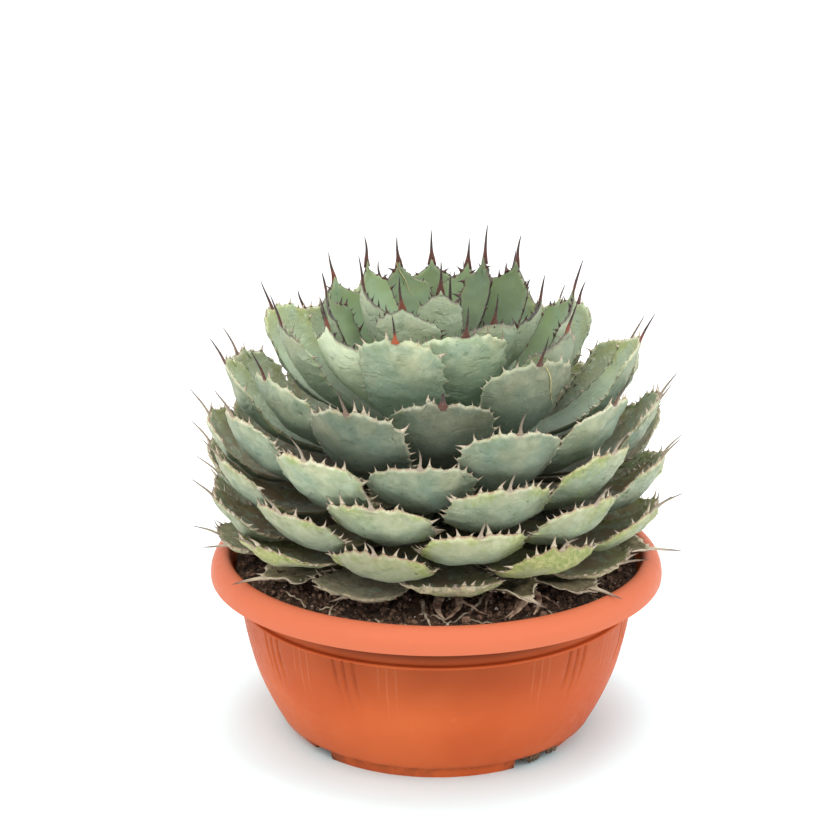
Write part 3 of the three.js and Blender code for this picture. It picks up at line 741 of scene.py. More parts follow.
def bladeOf(leaf):
    # A face is a patch between four lines in the (side, along) plane: the root, both margins and the top
    # edge, blended straight across both ways (a Coons patch). Both faces share their rim.
    rows, columns = leafDetail["rows"], leafDetail["columns"]
    margins = [marginOf(leaf, -1, 11), marginOf(leaf, 1, 23)]
    ats, tops = [], []
    for margin, count in zip(margins, (columns // 2, columns // 2 + 1)):
        corner = cornerRun(leaf, margin)
        ats.append(crowdedSteps(margin, 0, corner, rows))
        tops.append(crowdedSteps(margin, corner, margin["run"][-1], count))
    tops[1] = tops[1][-2::-1]  # the right half of the top edge runs outwards, without the middle point
    left, right = [alongLine(margin, at) for margin, at in zip(margins, ats)]
    bumpLeft, bumpRight = [alongLine(margin, at, "bump") for margin, at in zip(margins, ats)]
    top, bumpTop = [np.vstack([alongLine(margin, at, key) for margin, at in zip(margins, tops)])
                    for key in ("line", "bump")]
    c = top[:, 0] / np.where(top[:, 0] < 0, -top[0, 0], top[-1, 0])
    root = np.stack([c * leafDetail["broad"][0][0] * leaf["half"], c * 0], 1)
    u, v = ((c + 1) / 2)[None, :, None], np.linspace(0, 1, rows)[:, None, None]
    patch = (1 - v) * root[None] + v * top[None] + (1 - u) * left[:, None] + u * right[:, None]
    patch -= (1 - v) * ((1 - u) * root[0] + u * root[-1]) + v * ((1 - u) * top[0] + u * top[-1])

    toLeft, toRight, toTop = [np.linalg.norm(patch - edge, axis=2)
                              for edge in (patch[:, :1], patch[:, -1:], patch[-1:])]
    toMargin = np.minimum(np.minimum(toLeft, toRight), toTop)
    # behind each tooth a short rib runs in from the margin
    ribs = bumpTop.T * np.exp(-toTop / 5) + bumpLeft * np.exp(-toLeft / 5) + bumpRight * np.exp(-toRight / 5)
    side, along = patch[..., 0], patch[..., 1]
    t = np.clip(along / leaf["length"], 0, 1)
    thick = thicknessOf(leaf, c[None], t)
    fade = 1 - np.clip(toMargin / leafDetail["round"], 0, 1)
    roundOver = 0.5 * thick * (1 - np.sqrt(1 - fade ** 2))
    roundOver[0] = 0.5 * thick[0]

    # relief: the line below the spine, soft swellings, dents, and the print of a neighbour's margin
    def hills(wide, long, more):
        return rough(side / wide, along / long, leaf["age"] + 20 + more)

    high, low = leafDetail["swellings"]
    deep, shallow = leafDetail["dents"]
    groove = leafDetail["groove"] * np.exp(-(side / 1.5) ** 2) * smoothStep(0.72, 0.92, t)
    swell = high * hills(17, 13, 0) + low * hills(9, 6, 40) + leafDetail["ribs"] * ribs
    swell = swell * (1 - 0.6 * leaf["point"])
    printLine = leaf["printDepth"] + 2.2 * np.cos((side * 0.8 + along) / 9.4 * 2 * math.pi)
    printRidge = leafDetail["print"] * np.exp(-((toMargin - printLine) / 1.1) ** 2) * smoothStep(0.5, 0.62, t)
    calm = smoothStep(0, 6, toMargin)
    shrivel = leaf["shrivel"] * (hills(13, 22, 7) + 0.5 * hills(6, 16, 8)) * smoothStep(0.3, 0.7, t)
    relief = (swell + printRidge - groove) * (0.25 + 0.75 * calm) * (toMargin > 0)
    dents = deep * hills(14, 12, 80) + shallow * hills(5, 5, 9)
    inner = placeOn(leaf, side, along, roundOver - dents * calm + shrivel)
    outer = placeOn(leaf, side, along, thick - roundOver + relief + shrivel)

    rim = np.ones((rows, columns), bool)
    rim[1:-1, 1:-1] = False
    number = np.arange(rows * columns).reshape(rows, columns)
    outerNumber = number.copy()
    outerNumber[~rim] = rows * columns + np.arange(np.sum(~rim))
    quads = np.vstack([quadsOf(number)[:, [0, 3, 2, 1]], quadsOf(outerNumber)[:, [1, 2, 3, 0]]])

    def both(inside, outside=None):
        # all points of the inner face, then those of the outer face that aren't on the rim
        outside = inside if outside is None else outside
        return np.concatenate([inside.reshape(-1, *inside.shape[2:]), outside[~rim]])

    fromTip = leaf["length"] - along
    hornLine = (1 - np.clip((toMargin - 1.0) / 1.3, 0, 1)) * (
        1 - smoothStep(leaf["hornLine"] * 0.6, leaf["hornLine"] + 0.01, np.hypot(side, fromTip)))
    points = both(inner, outer)
    innerFace = both(np.where(rim, 0.5, 1.0), 0 * t)
    values = plainValues(
        points, innerFace=innerFace, marginDistance=both(toMargin), alongLeaf=both(t), horn=both(hornLine),
        hornAlong=both(0.95 - 0.85 * smoothStep(0.4, 2.0, toMargin)),
        tipStain=both(leaf["tipStain"] * np.exp(-(side / 4.5) ** 2 - (fromTip / 4.5) ** 2)),
        leafPlace=both(np.stack([side, along, 0 * t + leaf["age"] * 31], -1)) * mm,
        leafAge=leaf["oldness"], yellowing=leaf["yellow"], withered=leaf["withered"], heartGreen=leaf["point"],
        leafShade=leaf["shade"] + (leaf["upperShade"] - leaf["shade"]) * innerFace)
    return (points, quads, np.zeros((0, 3), int), values), margins


def thicknessOf(leaf, across, t):
    # thick along the middle, thinner towards the tip (t from 0 to 1) and towards the margins (across -1 and 1)
    middle = leaf["rootThickness"] + (leaf["lip"] - leaf["rootThickness"]) * t ** 0.8
    return leaf["edge"] + (middle - leaf["edge"]) * (1 - across ** 2)


def plainValues(points, **given):
    # the values of the skin at every point, those of plain tissue unless given
    values = {"innerFace": 0.0, "marginDistance": 20.0, "alongLeaf": 0.4, "horn": 0.0, "hornAlong": 0.0,
              "hornAge": 0.0, "leafAge": 0.0, "yellowing": -0.3, "brightFoot": 0.0, "tipStain": 0.0,
              "leafShade": 1.0, "withered": -0.5, "heartGreen": 0.0, "leafPlace": points * mm}
    values.update(given)
    return {key: np.full(len(points), value) if np.isscalar(value) else value for key, value in values.items()}


def hornPart(centres, sideways, upwards, wide, thick, sides, shares, **given):
    # Closed horns: rings round each centre line, sideways * wide * cos + upwards * thick * sin, and one end point.
    # centres has the shape (horns, rings + 1, 3) and its last one is the point; shares run from 0 at the foot
    # to 1 there.
    horns, rings = centres.shape[0], centres.shape[1] - 1
    angle = fullTurn(sides)
    ring = (centres[:, :-1, None] + sideways[:, None, None] * (wide[:, :, None] * np.cos(angle))[..., None]
            + upwards[:, None, None] * (thick[:, :, None] * np.sin(angle))[..., None])
    points = np.concatenate([ring.reshape(horns, -1, 3), centres[:, -1:]], 1).reshape(-1, 3)
    k, last = np.arange(sides), (rings - 1) * sides
    tips = np.stack([last + k, last + (k + 1) % sides, 0 * k + rings * sides], 1)
    feet = np.stack([0 * k[2:], k[2:], k[1:-1]], 1)
    each = rings * sides + 1
    values = plainValues(points, alongLeaf=1.0, marginDistance=0.0, horn=1.0,
                         hornAlong=np.tile(np.append(np.repeat(shares[:-1], sides), 1.0), horns), **given)
    faces = [repeated(face, horns, each) for face in (ringQuads(rings, sides), np.vstack([tips, feet]))]
    return points, *faces, values


def teethOf(leaf, margin, sign):
    # Each tooth is a small hooked horn on its bump, flattened in the plane of the leaf.
    at, size = [values[margin["size"] > 0.25] for values in (margin["teeth"], margin["size"])]
    foot = alongLine(margin, at)
    out = unit(alongLine(margin, at, "out"))
    depth = leaf["edge"] * 0.5
    base = placeOn(leaf, foot[:, 0], foot[:, 1], depth)
    outward = unit(placeOn(leaf, foot[:, 0] + out[:, 0], foot[:, 1] + out[:, 1], depth) - base)
    onward = unit(placeOn(leaf, foot[:, 0] - out[:, 1] * sign, foot[:, 1] + out[:, 0] * sign, depth) - base)
    upwards = unit(np.cross(outward, onward)) * sign
    draws = np.array([[chance(leaf["age"] * 3.1 + k, 31 + sign + d) for d in range(3)] for k in range(len(at))])
    length = leaf["tooth"] * size * (1 + 0.25 * draws[:, 0])
    hook = (0.15 + 0.65 * draws[:, 1]) * length
    curl = (-0.1 + 0.6 * draws[:, 2]) * length
    u = np.array([0, 0.18, 0.42, 0.72, 1.0])
    inside = 1.6
    centres = (base[:, None] + outward[:, None] * (u * (length[:, None] + inside) - inside)[..., None]
               + onward[:, None] * (hook[:, None] * u ** 2)[..., None]
               + upwards[:, None] * (curl[:, None] * u ** 2)[..., None])
    wide = leafDetail["toothWidth"] * length[:, None] * np.array([1.5, 0.95, 0.52, 0.27]) * leaf["toothWide"]
    thick = wide * np.array([0.45, 0.62, 0.8, 0.9])
    return hornPart(centres, onward, upwards, wide, thick, 5, u, hornAge=leaf["toothAge"])


def spineOf(leaf):
    # The terminal spine: a long horn that starts as a wedge inside the tip and bends out to its own slope.
    tipWay, spineWay, turn, point = leaf["tipWay"], leaf["spineWay"], leaf["turn"], leaf["point"]
    inside = leafDetail["spineInside"]
    foot = leaf["tip"] + np.array([tipWay[1], -tipWay[0]]) * leaf["tipThickness"] / 2
    start, end = foot - tipWay * (inside + 0.3), foot + spineWay * leaf["spine"]
    reach = np.linalg.norm(end - start)
    line = curveThrough(start, start + tipWay * reach * 0.33, end - spineWay * reach * 0.42, end, 60)
    if leaf["broken"]:
        line = line[:34]
    run = runningLength(line)
    free = run[-1] - inside
    at = np.array([0, 0.06, 0.13, 0.22, 0.33, 0.46, 0.6, 0.74, 0.88, 1])
    at = np.concatenate([[0, 2.4, 3.8, 5.0], inside + free * at])
    out = at - inside
    share = np.clip(out / free, 0, 1)
    radius, height = readAt(at, run, line).T
    across = np.array([math.cos(turn), math.sin(turn), 0])
    centre = roundAxis(radius, turn, height) + np.outer(leaf["bow"] * np.sin(math.pi * share), across)
    taper = np.clip(1 - out / (free + 1e-6), 0, 1) ** 0.62
    shaft = leaf["shaft"] * taper + (0.7 if leaf["broken"] else 0.0)
    # the foot flares out along the leaf's top edge and dives thin into the blade under it
    sink = 2.6 * (1 - point)
    above = np.maximum(out + sink, 0)
    below = np.clip(-(out + sink) / (inside - sink), 0, 1)
    wide = shaft + (2.3 - 1.2 * point) * np.exp(-above / (1.7 + 1.6 * point)) + (1.9 * point - 0.6) * below
    thick = (shaft * 0.95 - 0.25 * np.exp(-above / 1.5)) * (1 - below) + 0.4 * below
    upwards = unit(np.array([-spineWay[1] * math.sin(turn), spineWay[1] * math.cos(turn), spineWay[0]]))
    return hornPart(centre[None], across[None], upwards[None], wide[None, :-1], thick[None, :-1], 8, share,
                    hornAge=leaf["spineAge"], brightFoot=leaf["bright"])


def wholeLeaf(leaf):
    # blade, teeth and spine
    blade, margins = bladeOf(leaf)
    return joinParts([blade, teethOf(leaf, margins[0], -1), teethOf(leaf, margins[1], 1), spineOf(leaf)])


def makeLeaves(skin, driedSkin):
    for age in range(1, rosette["firstYoung"]):
        addPiece(f"leaf{age:02d}", wholeLeaf(leafAt(age, greenForm)), skin, "green_leaf", f"leaf_{age:02d}")
    for index, age in enumerate(rosette["driedAges"], 1):
        leaf = wholeLeaf(leafAt(age, driedForm))
        addPiece(f"driedLeaf{index}", leaf, driedSkin, "dried_leaf", f"dried_leaf_{index}")
    print("leaves done")


# Heart: the stem, the bud and the leaves that stand round it

budForm = {"moreX": 10.0, "horn": 322.0, "point": 360.0, "columns": 40, "rows": 60,
           "profile": [[10, 252], [12, 275], [8.6, 305], [3, 331], [1.3, 338], [0.7, 350]]}  # radius, height


def budPart():
    # The bud is a tight roll: its radius ripples by 7 % twice round, turning with height, like overlapping edges.
    table = np.array(budForm["profile"])
    height = np.linspace(table[0, 1], table[-1, 1], budForm["rows"])[:, None]
    radius = np.interp(height, table[:, 1], table[:, 0])
    angle = fullTurn(budForm["columns"])
    radius = radius + 0.07 * radius * np.abs(np.sin(angle * 2 + height * 0.035)) * (height < 330)
    points, quads, triangles = closedRings(roundAxis(radius, angle, height), [0, 0, table[0, 1]],
                                           [0, 0, budForm["point"]])
    points[:, 0] += budForm["moreX"]
    values = plainValues(points, horn=smoothStep(budForm["horn"], budForm["horn"] + 6, points[:, 2]),
                         hornAlong=smoothStep(budForm["horn"], budForm["point"], points[:, 2]))
    return points, quads, triangles, values


def stemPart():
    solid = turnedSolid([[26, 106.5], [26, 134]] + [[radius, height] for height, radius in rosette["stemRadius"]], 48)
    return *solid, plainValues(solid[0], leafAge=0.8)


def makeHeart(skin):
    young = {age: wholeLeaf(leafAt(age, greenForm, rosette["heartSink"]))
             for age in range(rosette["firstYoung"], rosette["leaves"])}
    inner = [young.pop(age) for age in range(rosette["firstInner"], rosette["leaves"])]
    for age, leaf in young.items():
        addPiece(f"youngLeaf{age}", leaf, skin, "green_leaf", "heart")
    addPiece("heartLeaves", joinParts([stemPart(), budPart()] + inner), skin, "green_leaf", "heart")
    print("heart done")


# Pot

potForm = {
    # The profile, [radius, height] from inside the foot ring up the outside, over the rim and down to the floor:
    # a stretch's name, its number of rings, or 0 for its points as they are, and its points.
    "profile": [
        ["foot", 0, [[112, 6.5], [112.6, 3.2], [113.2, 0.2], [117, 0], [118.2, 4.5], [119.3, 9.5]]],
        ["wall", 30, [[123, 9.9], [132.4, 28], [142, 52], [149, 80], [152.1, 101.4]]],
        ["ledge", 0, [[153.7, 102.6], [153.2, 103.9]]],
        ["neck", 0, [[150.6, 104.8]]],
        ["neck", 12, [[150.8, 107], [151.6, 113.5], [155.5, 121], [160.5, 128.5], [163, 131.5], [166, 131.2],
                      [169.5, 129], [171.6, 125.8], [172.5, 123.3]]],
        ["rim", 20, [[173.2, 122.6], [174.5, 122.5], [175, 123.2], [174.8, 127], [173.9, 131], [172, 134.6],
                     [169, 137.6], [165.8, 139.6], [162.4, 140.2], [160.4, 139.2], [159.2, 136.4], [158.8, 133]]],
        ["inside", 8, [[157.2, 129], [148.2, 114], [145.4, 80], [130.8, 32], [119, 13.5]]],
    ],
    "notches": [[30, 51], [121, 139], [211, 229], [307, 318]],  # gaps in the foot ring, from and to
    "grooves": {"panel": 8.5, "first": 35.0, "step": 27.5, "groups": 5, "places": [[-3, 46], [0, 52], [3, 40]],
                "lean": 3.0, "depth": 1.5, "width": 0.42},
    "ridges": {"before": 13.0, "places": [[-2.4, 34], [0, 60], [2.6, 46]], "height": 0.3, "width": 0.3},
    "wallTop": 102.2, "seam": 9.5, "gapTop": 6.5, "ledgeTop": 103.0, "neckSpan": [104.2, 131.4], "rimSheenFrom": 121,
    "sideFeet": 3.5,  # how far the foot ring's left and right parts stand back
    "drains": {"count": 6, "radius": 5.0, "circle": 62.0},
    "specks": [-49.0, 41.3], "speckHeight": 100.2,  # two specks of dirt under the ledge
}


def potFeatures():
    # every groove and ridge as azimuth, length, lean, depth (negative for a ridge) and half width
    found = []
    grooves, ridges = potForm["grooves"], potForm["ridges"]
    for side in (-1, 1):
        for group in range(grooves["groups"]):
            centre = grooves["panel"] + side * (grooves["first"] + grooves["step"] * group)
            for place, length in grooves["places"]:
                found.append([centre + side * place, length, -side * grooves["lean"], grooves["depth"],
                              grooves["width"]])
            for place, length in ridges["places"]:
                found.append([centre - side * (ridges["before"] + place), length, 0.0, -ridges["height"],
                              ridges["width"]])
    return np.array(found)


def apartFrom(azimuth, place):
    # degrees between two azimuths, from -180 to 180
    return (azimuth - place + 180) % 360 - 180


def hump(value, middle, width):
    return np.exp(-((value - middle) / width) ** 2)


def makePot(plastic):
    # A closed profile carried round the axis; grooves and ridges move the wall in or out, and the foot ring is
    # lifted in its four gaps.
    f, features = potForm, potFeatures()
    stretches = [smoothThrough(np.array(points, float), rings) if rings else np.array(points, float)
                 for _, rings, points in f["profile"]]
    profile = np.vstack(stretches)
    names = np.repeat([row[0] for row in f["profile"]], [len(points) for points in stretches])[:, None]
    foot, wall, neck = [names == name for name in ("foot", "wall", "neck")]
    outside, wide = foot | wall, profile[:, :1] > 149

    # sides of the rings: every 1.8 degrees, close together at the features and at both edges of each gap
    near = (features[:, :1] + [-1.3, -0.8, -0.5, -0.25, 0, 0.25, 0.5, 0.8, 1.3]).ravel()
    edges = [end + aside for notch in f["notches"] for end in notch for aside in (-0.06, 0.06)]
    azimuth = np.concatenate([np.arange(0, 360, 1.8), near, near + 0.9 * np.sign(near), edges]) % 360
    azimuth = np.unique(np.round(azimuth, 2))
    azimuth = azimuth[np.append(True, np.diff(azimuth) > 0.11)]
    angle = np.radians(azimuth)
    radius, height = profile[:, :1] + 0 * angle, profile[:, 1:] + 0 * angle

    push, ridge, line = 0 * radius, 0 * radius, 0 * radius
    below = f["wallTop"] - height
    for place, length, lean, depth, width in features:
        apart = apartFrom(azimuth, place + lean * np.clip(below / length, 0, 1) ** 1.6)
        strength = hump(apart, 0, width) * (1 - smoothStep(0.3, 1.0, below / length)) * wall
        strength *= smoothStep(-0.2, 1.0, below)
        push -= depth * strength
        line = np.maximum(line, strength * (depth > 0))
        ridge = np.maximum(ridge, strength * (depth < 0))
    inGap = np.any([(azimuth > start) & (azimuth < end) for start, end in f["notches"]], axis=0)
    atSides = (azimuth % 180 > 45) & (azimuth % 180 < 130) & ~inGap
    radius = radius + push - f["sideFeet"] * np.interp(height, [9.5, 9.8], [1, 0]) * atSides * outside
    height = np.where(foot & inGap, np.maximum(height, f["gapTop"] + 1.9 * (profile[:, :1] > 117)), height)

    # dirt and painted shade in the seam under the wall's overhang, in the grooves and in the front gaps, dirt in two
    # specks; painted shade in the neck and under the ledge
    grime = np.maximum(0.22 * line, 0.6 * hump(height, f["seam"], 0.5) * outside)
    nearGap = np.interp(azimuth, [24, 30, 51, 60, 295, 307, 318, 326], [0, 1, 1, 0, 0, 1, 1, 0.3])
    grime = np.maximum(grime, 0.85 * nearGap * outside * (1 - smoothStep(8, 12, height)))
    for place in f["specks"]:
        grime = np.maximum(grime, hump(apartFrom(azimuth, place), 0, 0.7) * hump(height, f["speckHeight"], 0.9))
    facing = 0.3 + 0.7 * np.clip(np.cos(angle), 0, 1) ** 2  # light reaches into the neck at the sides
    inNeck = (height > f["neckSpan"][0]) & (height < f["neckSpan"][1]) & wide & neck
    values = {
        "grime": grime,
        # pale lines on the ridges, and a painted highlight along the ledge
        "ridge": np.maximum(ridge, 0.9 * hump(height, f["ledgeTop"], 0.5) * wide),
        # the rim paler and pinker: painted sheen
        "paintedRimSheen": 1.0 * ((height > f["rimSheenFrom"]) & (profile[:, :1] > 158) & ~neck),
        # painted shade: deep in the neck under the rim, and darkening the wall up towards the ledge
        "paintedShade": facing * np.maximum((0.35 + 0.6 * smoothStep(105, 114, height)) * inNeck,
                                      0.46 * smoothStep(50, 101.5, height) * outside),
    }
    values = {key: np.append(value, [0, 0]) for key, value in values.items()}
    solid = closedRings(roundAxis(radius, angle, height), [0, 0, 6.5], [0, 0, 13.5])
    pot = addPiece("bowlPot", (*solid, values), plastic, "pot_plastic", "pot")
    pot.data.set_sharp_from_angle(angle=math.radians(38))
    cutDrains(pot)


def cutDrains(pot):
    # drain holes: upright round bars cut out of the floor
    drains, bars = potForm["drains"], []
    for k in range(drains["count"]):
        points, quads, triangles = turnedSolid([[drains["radius"], 2.0], [drains["radius"], 18.0]], 20)
        points += roundAxis(drains["circle"], math.radians(360 / drains["count"] * k), 0.0)
        bars.append((points, quads, triangles, {}))
    cutter = bpy.data.objects.new("drainBars", meshFrom("drainBars", joinParts(bars)))
    scene.collection.objects.link(cutter)
    cut = pot.modifiers.new("drainHoles", "BOOLEAN")
    cut.operation, cut.object, cut.solver = "DIFFERENCE", cutter, "EXACT"
    bpy.context.view_layer.update()
    opened = bpy.data.meshes.new_from_object(pot.evaluated_get(bpy.context.evaluated_depsgraph_get()))
    pot.modifiers.clear()
    pot.data = opened
    bpy.data.objects.remove(cutter)
    print("pot done", len(opened.vertices), "points")


# Soil

soilForm = {"edgeHeight": 129.5, "mound": 2.0, "clod": 1.3, "edgeRadius": 155.6, "rings": 76, "sides": 400,
            "under": [[118.65, 13.85], [130.45, 32.1], [145.05, 80.1], [147.85, 114.1], [155.4, 128.6]],
            "lumps": [[9.0, 1.6, 3], [4.2, 1.5, 4], [2.1, 0.8, 5]],  # size, height, seed
            "scatter": [88.0, 153.0],  # radii between which loose lumps lie
            "crumbs": {"count": 1800, "sizes": (1.2, 7.0), "bury": 0.3, "seed": 7},
            "grit": {"count": 240, "sizes": (0.9, 2.6), "bury": 0.2, "seed": 8}}


def soilTop(x, y):
    # a low mound, the solid's own clods (two crossed waves) and three sizes of noise that fade at the rim
    radius = np.hypot(x, y)
    mound = soilForm["mound"] * (1 - (radius / 162.4) ** 2)
    clods = np.sin(x * 0.19 + 1.3 * np.sin(y * 0.11)) * np.sin(y * 0.23 + 1.7)
    grains = 0.5 * np.sin(x * 0.47 + y * 0.31) * np.sin(y * 0.53 - x * 0.29 + 0.8)
    lumps = sum(height * rough(x / size, y / size, seed) for size, height, seed in soilForm["lumps"])
    fade = smoothStep(0, 3, soilForm["edgeRadius"] - radius) * smoothStep(20, 60, radius)
    return soilForm["edgeHeight"] + mound + soilForm["clod"] * (clods + grains) + lumps * fade


def makeSoil(look):
    # the rings are close together where the soil is seen, from 93 mm out
    f, angle = soilForm, fullTurn(soilForm["sides"])
    radii = np.concatenate([[30], np.linspace(60, 92, 9), np.linspace(93, f["edgeRadius"] - 0.4, f["rings"] - 10)])
    radii = radii[::-1, None]
    top = roundAxis(radii, angle, 0.0)
    top = np.stack([top[..., 0], top[..., 1], soilTop(top[..., 0], top[..., 1])], -1)
    under = np.array(f["under"])
    rings = np.concatenate([roundAxis(under[:, :1], angle, under[:, 1:]), top])
    addPiece("soilBed", (*closedRings(rings, [0, 0, 13.85], [0, 0, 131]), {}), look, "potting_soil", "soil")
    print("soil done")


def scatterLumps(name, material, count, sizes, bury, seed):
    # Crumbs or small stones: a ball of 3 rings x 6 points, each pushed in and out by chance, resting in the soil.
    draw = np.random.default_rng(seed)
    turn = draw.uniform(0, 2 * math.pi, count)
    radius = np.sqrt(draw.uniform(soilForm["scatter"][0] ** 2, soilForm["scatter"][1] ** 2, count))
    size = sizes[0] + (sizes[1] - sizes[0]) * draw.uniform(0, 1, count) ** 2.4
    x, y = radius * np.sin(turn), -radius * np.cos(turn)
    z = soilTop(x, y) + size * (0.5 - bury)
    tilt, spin = np.linspace(0.25, 0.75, 3)[:, None] * math.pi, fullTurn(6)
    ring = np.stack([np.sin(tilt) * np.cos(spin), np.sin(tilt) * np.sin(spin), -np.cos(tilt) + 0 * spin], -1)
    ball, quads, triangles = closedRings(ring, [0, 0, -1], [0, 0, 1])
    shape = ball[None] * draw.uniform(0.6, 1.1, (count, 1, 3)) * draw.uniform(0.72, 1.2, (count, len(ball), 1))
    shape = shape * (size / 2)[:, None, None]
    angle = draw.uniform(0, 2 * math.pi, count)[:, None]
    shape = np.stack([shape[..., 0] * np.cos(angle) - shape[..., 1] * np.sin(angle),
                      shape[..., 0] * np.sin(angle) + shape[..., 1] * np.cos(angle), shape[..., 2]], -1)
    points = (shape + np.stack([x, y, z], -1)[:, None]).reshape(-1, 3)
    faces = [repeated(face, count, len(ball)) for face in (quads, triangles)]
    addPiece(name, (points, *faces, {}), material, "potting_soil", smooth=False)


# Dry bits: root fibres and the torn foot of an old leaf on the soil, straws caught on two leaves

litter = {
    "fibres": [  # x, y on the soil, then a size: half the width is twice it, half the thickness 1.4 times it
        [[-10, -94], [-8, -121], [-3, -140], [3, -154], 0.8],
        [[37, -78], [29, -104], [17, -121], [10, -136], [1, -151], 0.75],
        [[-12, -112], [-2, -122], [6, -132], [8, -144], [0, -150], 0.6],
        [[-112, -78], [-106, -84], [-98, -92], [-95, -107], [-100, -112], 0.5],
        [[-77, -122], [-75, -103], [-70, -94], [-62, -92], 0.55],
        [[-86, -110], [-78, -108], [-70, -112], 0.45],
        [[109, -69], [114, -77], [121, -87], [128, -86], 0.6],
        [[76, -94], [80, -109], [86, -117], [92, -118], 0.5],
        [[24, -128], [34, -134], [44, -133], 0.4],
        [[-44, -128], [-34, -138], [-22, -140], [-14, -146], 0.45],
    ],
    "tornFoot": [  # x, y, z of flat tapering strips that splay from one foot, then half width
        [[44, -58, 139], [56, -80, 140], [66, -98, 141], [62, -120, 139], [52, -141, 136.5], 6.4],
        [[46, -60, 139], [60, -84, 141], [73, -104, 142], [74, -120, 139], [70, -131, 136], 5.4],
        [[44, -60, 138], [56, -88, 139], [60, -108, 139], [56, -126, 137], [47, -138, 135.5], 3.4],
        [[52, -70, 139], [68, -92, 140], [82, -106, 138], [90, -113, 135], 3.0],
        [[40, -62, 138], [42, -86, 139], [37, -106, 137], [36, -118, 135], 2.8],
        [[10, -84, 139], [3, -104, 139], [1, -124, 137.5], [6, -141, 136], 5.0],
        [[12, -88, 139], [17, -110, 138], [13, -130, 137], [5, -145, 136], 3.6],
        [[8, -96, 138], [23, -116, 137.5], [33, -128, 136.5], [41, -133, 136], 2.0],
    ],
    # leaf, share of half width and length at both ends of each straw, then 0 on the upper face or 1 on the outer
    "straws": [[77, (0.1, 0.985), (-0.35, 0.76), 0], [60, (0.12, 0.97), (0.72, 0.66), 1]],
}


def stripAlong(line, wide, thick, sides=6):
    # a closed strip: an ellipse wide x thick carried along a line of points and tapered to its end
    across = unit(np.cross(unit(np.gradient(line, axis=0)), [0, 0, 1.0]))
    upwards = np.cross(across, unit(np.gradient(line, axis=0)))
    taper = 1 - 0.92 * np.linspace(0, 1, len(line))[:, None] ** 1.6
    angle = fullTurn(sides)
    rings = (line[:, None] + across[:, None] * (wide * taper * np.cos(angle))[..., None]
             + upwards[:, None] * (thick * taper * np.sin(angle))[..., None])
    return *closedRings(rings, line[0], line[-1]), {}


def onSoil(spots, lift, count=22):
    line = smoothThrough(np.array(spots, float), count)
    wobble = np.stack([rough(line[:, 0] / 7, line[:, 1] / 7, 11), rough(line[:, 0] / 7, line[:, 1] / 7, 12)], 1)
    line = line + 0.7 * wobble
    return np.column_stack([line, soilTop(line[:, 0], line[:, 1]) + lift])


def tornStrip(spots, half):
    line = smoothThrough(np.array(spots, float), 30)
    x, y, z = line.T
    line[:, 2] = np.maximum(z + 0.9 * rough(y / 5, x / 5, 21), soilTop(x, y) + 0.8)
    return stripAlong(line, half, 0.9, 8)


def straw(age, start, end, outer):
    # a straw on a leaf's upper face, or on its outer face
    leaf = leafAt(age, greenForm, rosette["heartSink"])
    t = np.linspace(0, 1, 16)
    share = start[0] + (end[0] - start[0]) * t + 0.03 * np.sin(t * 9)
    along = start[1] + (end[1] - start[1]) * t
    depth = thicknessOf(leaf, share, along) + 0.75 if outer else 0 * t - 0.35
    return stripAlong(placeOn(leaf, share * leaf["half"], along * leaf["length"], depth), 0.5, 0.5, 5)


def makeLitter():
    fibres = [stripAlong(onSoil(spots, 1.4 * half), 2.0 * half, 1.4 * half, 5) for *spots, half in litter["fibres"]]
    torn = [tornStrip(spots, half) for *spots, half in litter["tornFoot"]]
    straws = [straw(*row) for row in litter["straws"]]
    for name, parts, look in (
            ("rootFibres", fibres, ("Dry root fibre", "E2D5C0", "B09A80", 6.0, 0.8, 0.3)),
            ("tornLeafFoot", torn, ("Torn dry leaf foot", "C2A68F", "5E3E31", 9.0, 0.85, 0.9)),
            ("straws", straws, ("Dry straw", "C9C08F", "9A8A5E", 6.0, 0.6, 0.1))):
        addPiece(name, joinParts(parts), makePlain(*look), "dried_leaf")
    print("litter done")


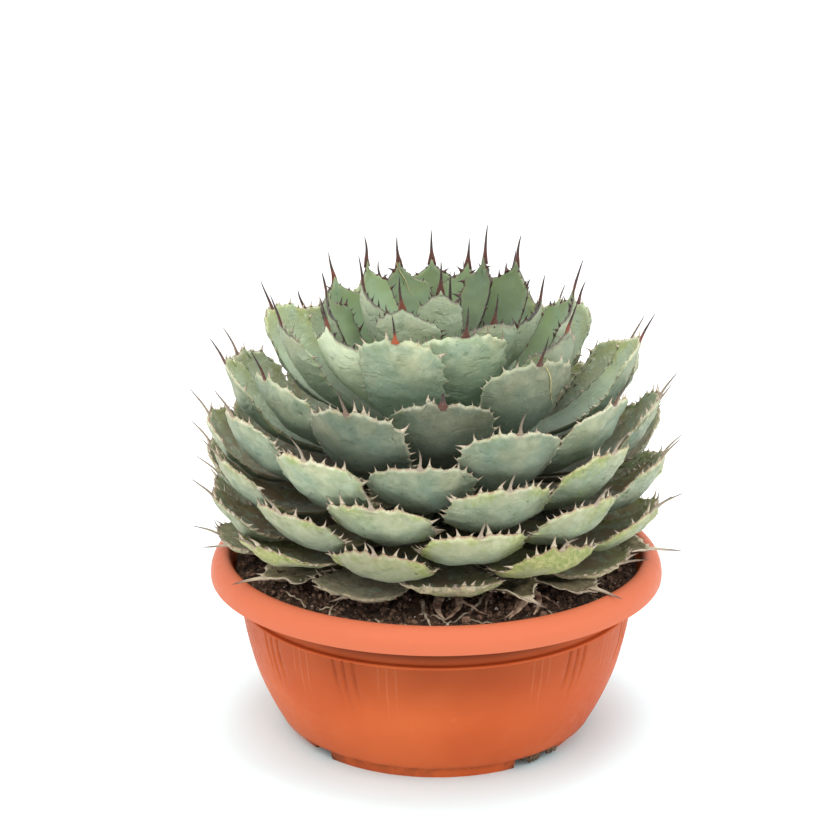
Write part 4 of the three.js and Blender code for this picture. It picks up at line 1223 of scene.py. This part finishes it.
splash = {"lumps": 14, "sizes": (1.6, 3.6), "azimuths": (32, 50), "radius": 117.5, "top": 8.2,
          "profile": [[0.6, -1], [0.95, -0.4], [1, 0.3], [0.6, 0.9]]}


def makeNotchDirt(material):
    # dried splashed soil that sticks in the right front gap of the foot ring
    draw = np.random.default_rng(5)
    parts = []
    for _ in range(splash["lumps"]):
        size = draw.uniform(*splash["sizes"])
        turn = math.radians(draw.uniform(*splash["azimuths"]))
        points, quads, triangles = turnedSolid(splash["profile"], 7)
        points = points * size * draw.uniform(0.75, 1.15, (len(points), 3))
        points += roundAxis(splash["radius"], turn, splash["top"] - 0.75 * size)
        parts.append((points, quads, triangles, {}))
    addPiece("notchDirt", joinParts(parts), material, "potting_soil", smooth=False)


def makeFloor():
    # pale seamless paper under and behind the pot
    size = 6.0
    mesh = bpy.data.meshes.new("floor")
    mesh.from_pydata([(-size, -size, 0), (size, -size, 0), (size, size, 0), (-size, size, 0)], [], [(0, 1, 2, 3)])
    floor = bpy.data.objects.new("floor", mesh)
    scene.collection.objects.link(floor)
    material, shader, add, where = newMaterial("Pale paper sweep")
    # faintly cooler round the pot, which balances the orange light that the pot throws there
    setInputs(shader, {"Base Color": add("mix", (add("length", where), 0.12, 0.75), "E6FBFF", "FAFAFA"),
                       "Roughness": 0.9})
    mesh.materials.append(material)


makeCamera()
makeLights()
makeFloor()
skin = makeSkin()
makePot(makePlastic())
makeSoil(makeSoilLook())
crumbLook = makePlain("Peat and bark crumbs", "957560", "1E1510", size=3.5, roughness=0.92, depth=0.8)
scatterLumps("soilCrumbs", crumbLook, **soilForm["crumbs"])
gritLook = makePlain("Pumice grit", "D8CFC2", "9A8F82", size=1.0, roughness=0.8, depth=0.3)
scatterLumps("paleGrit", gritLook, **soilForm["grit"])
makeNotchDirt(makePlain("Splashed dry soil", "7A6048", "3A2B20", size=3.0, roughness=0.9, depth=0.5))
makeLeaves(skin, makeDriedSkin())
makeHeart(skin)
makeLitter()

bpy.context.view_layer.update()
pieces = [o.data for o in scene.objects if o.type == "MESH" and not o.hide_render]
print("triangles", sum(len(face.vertices) - 2 for mesh in pieces for face in mesh.polygons))
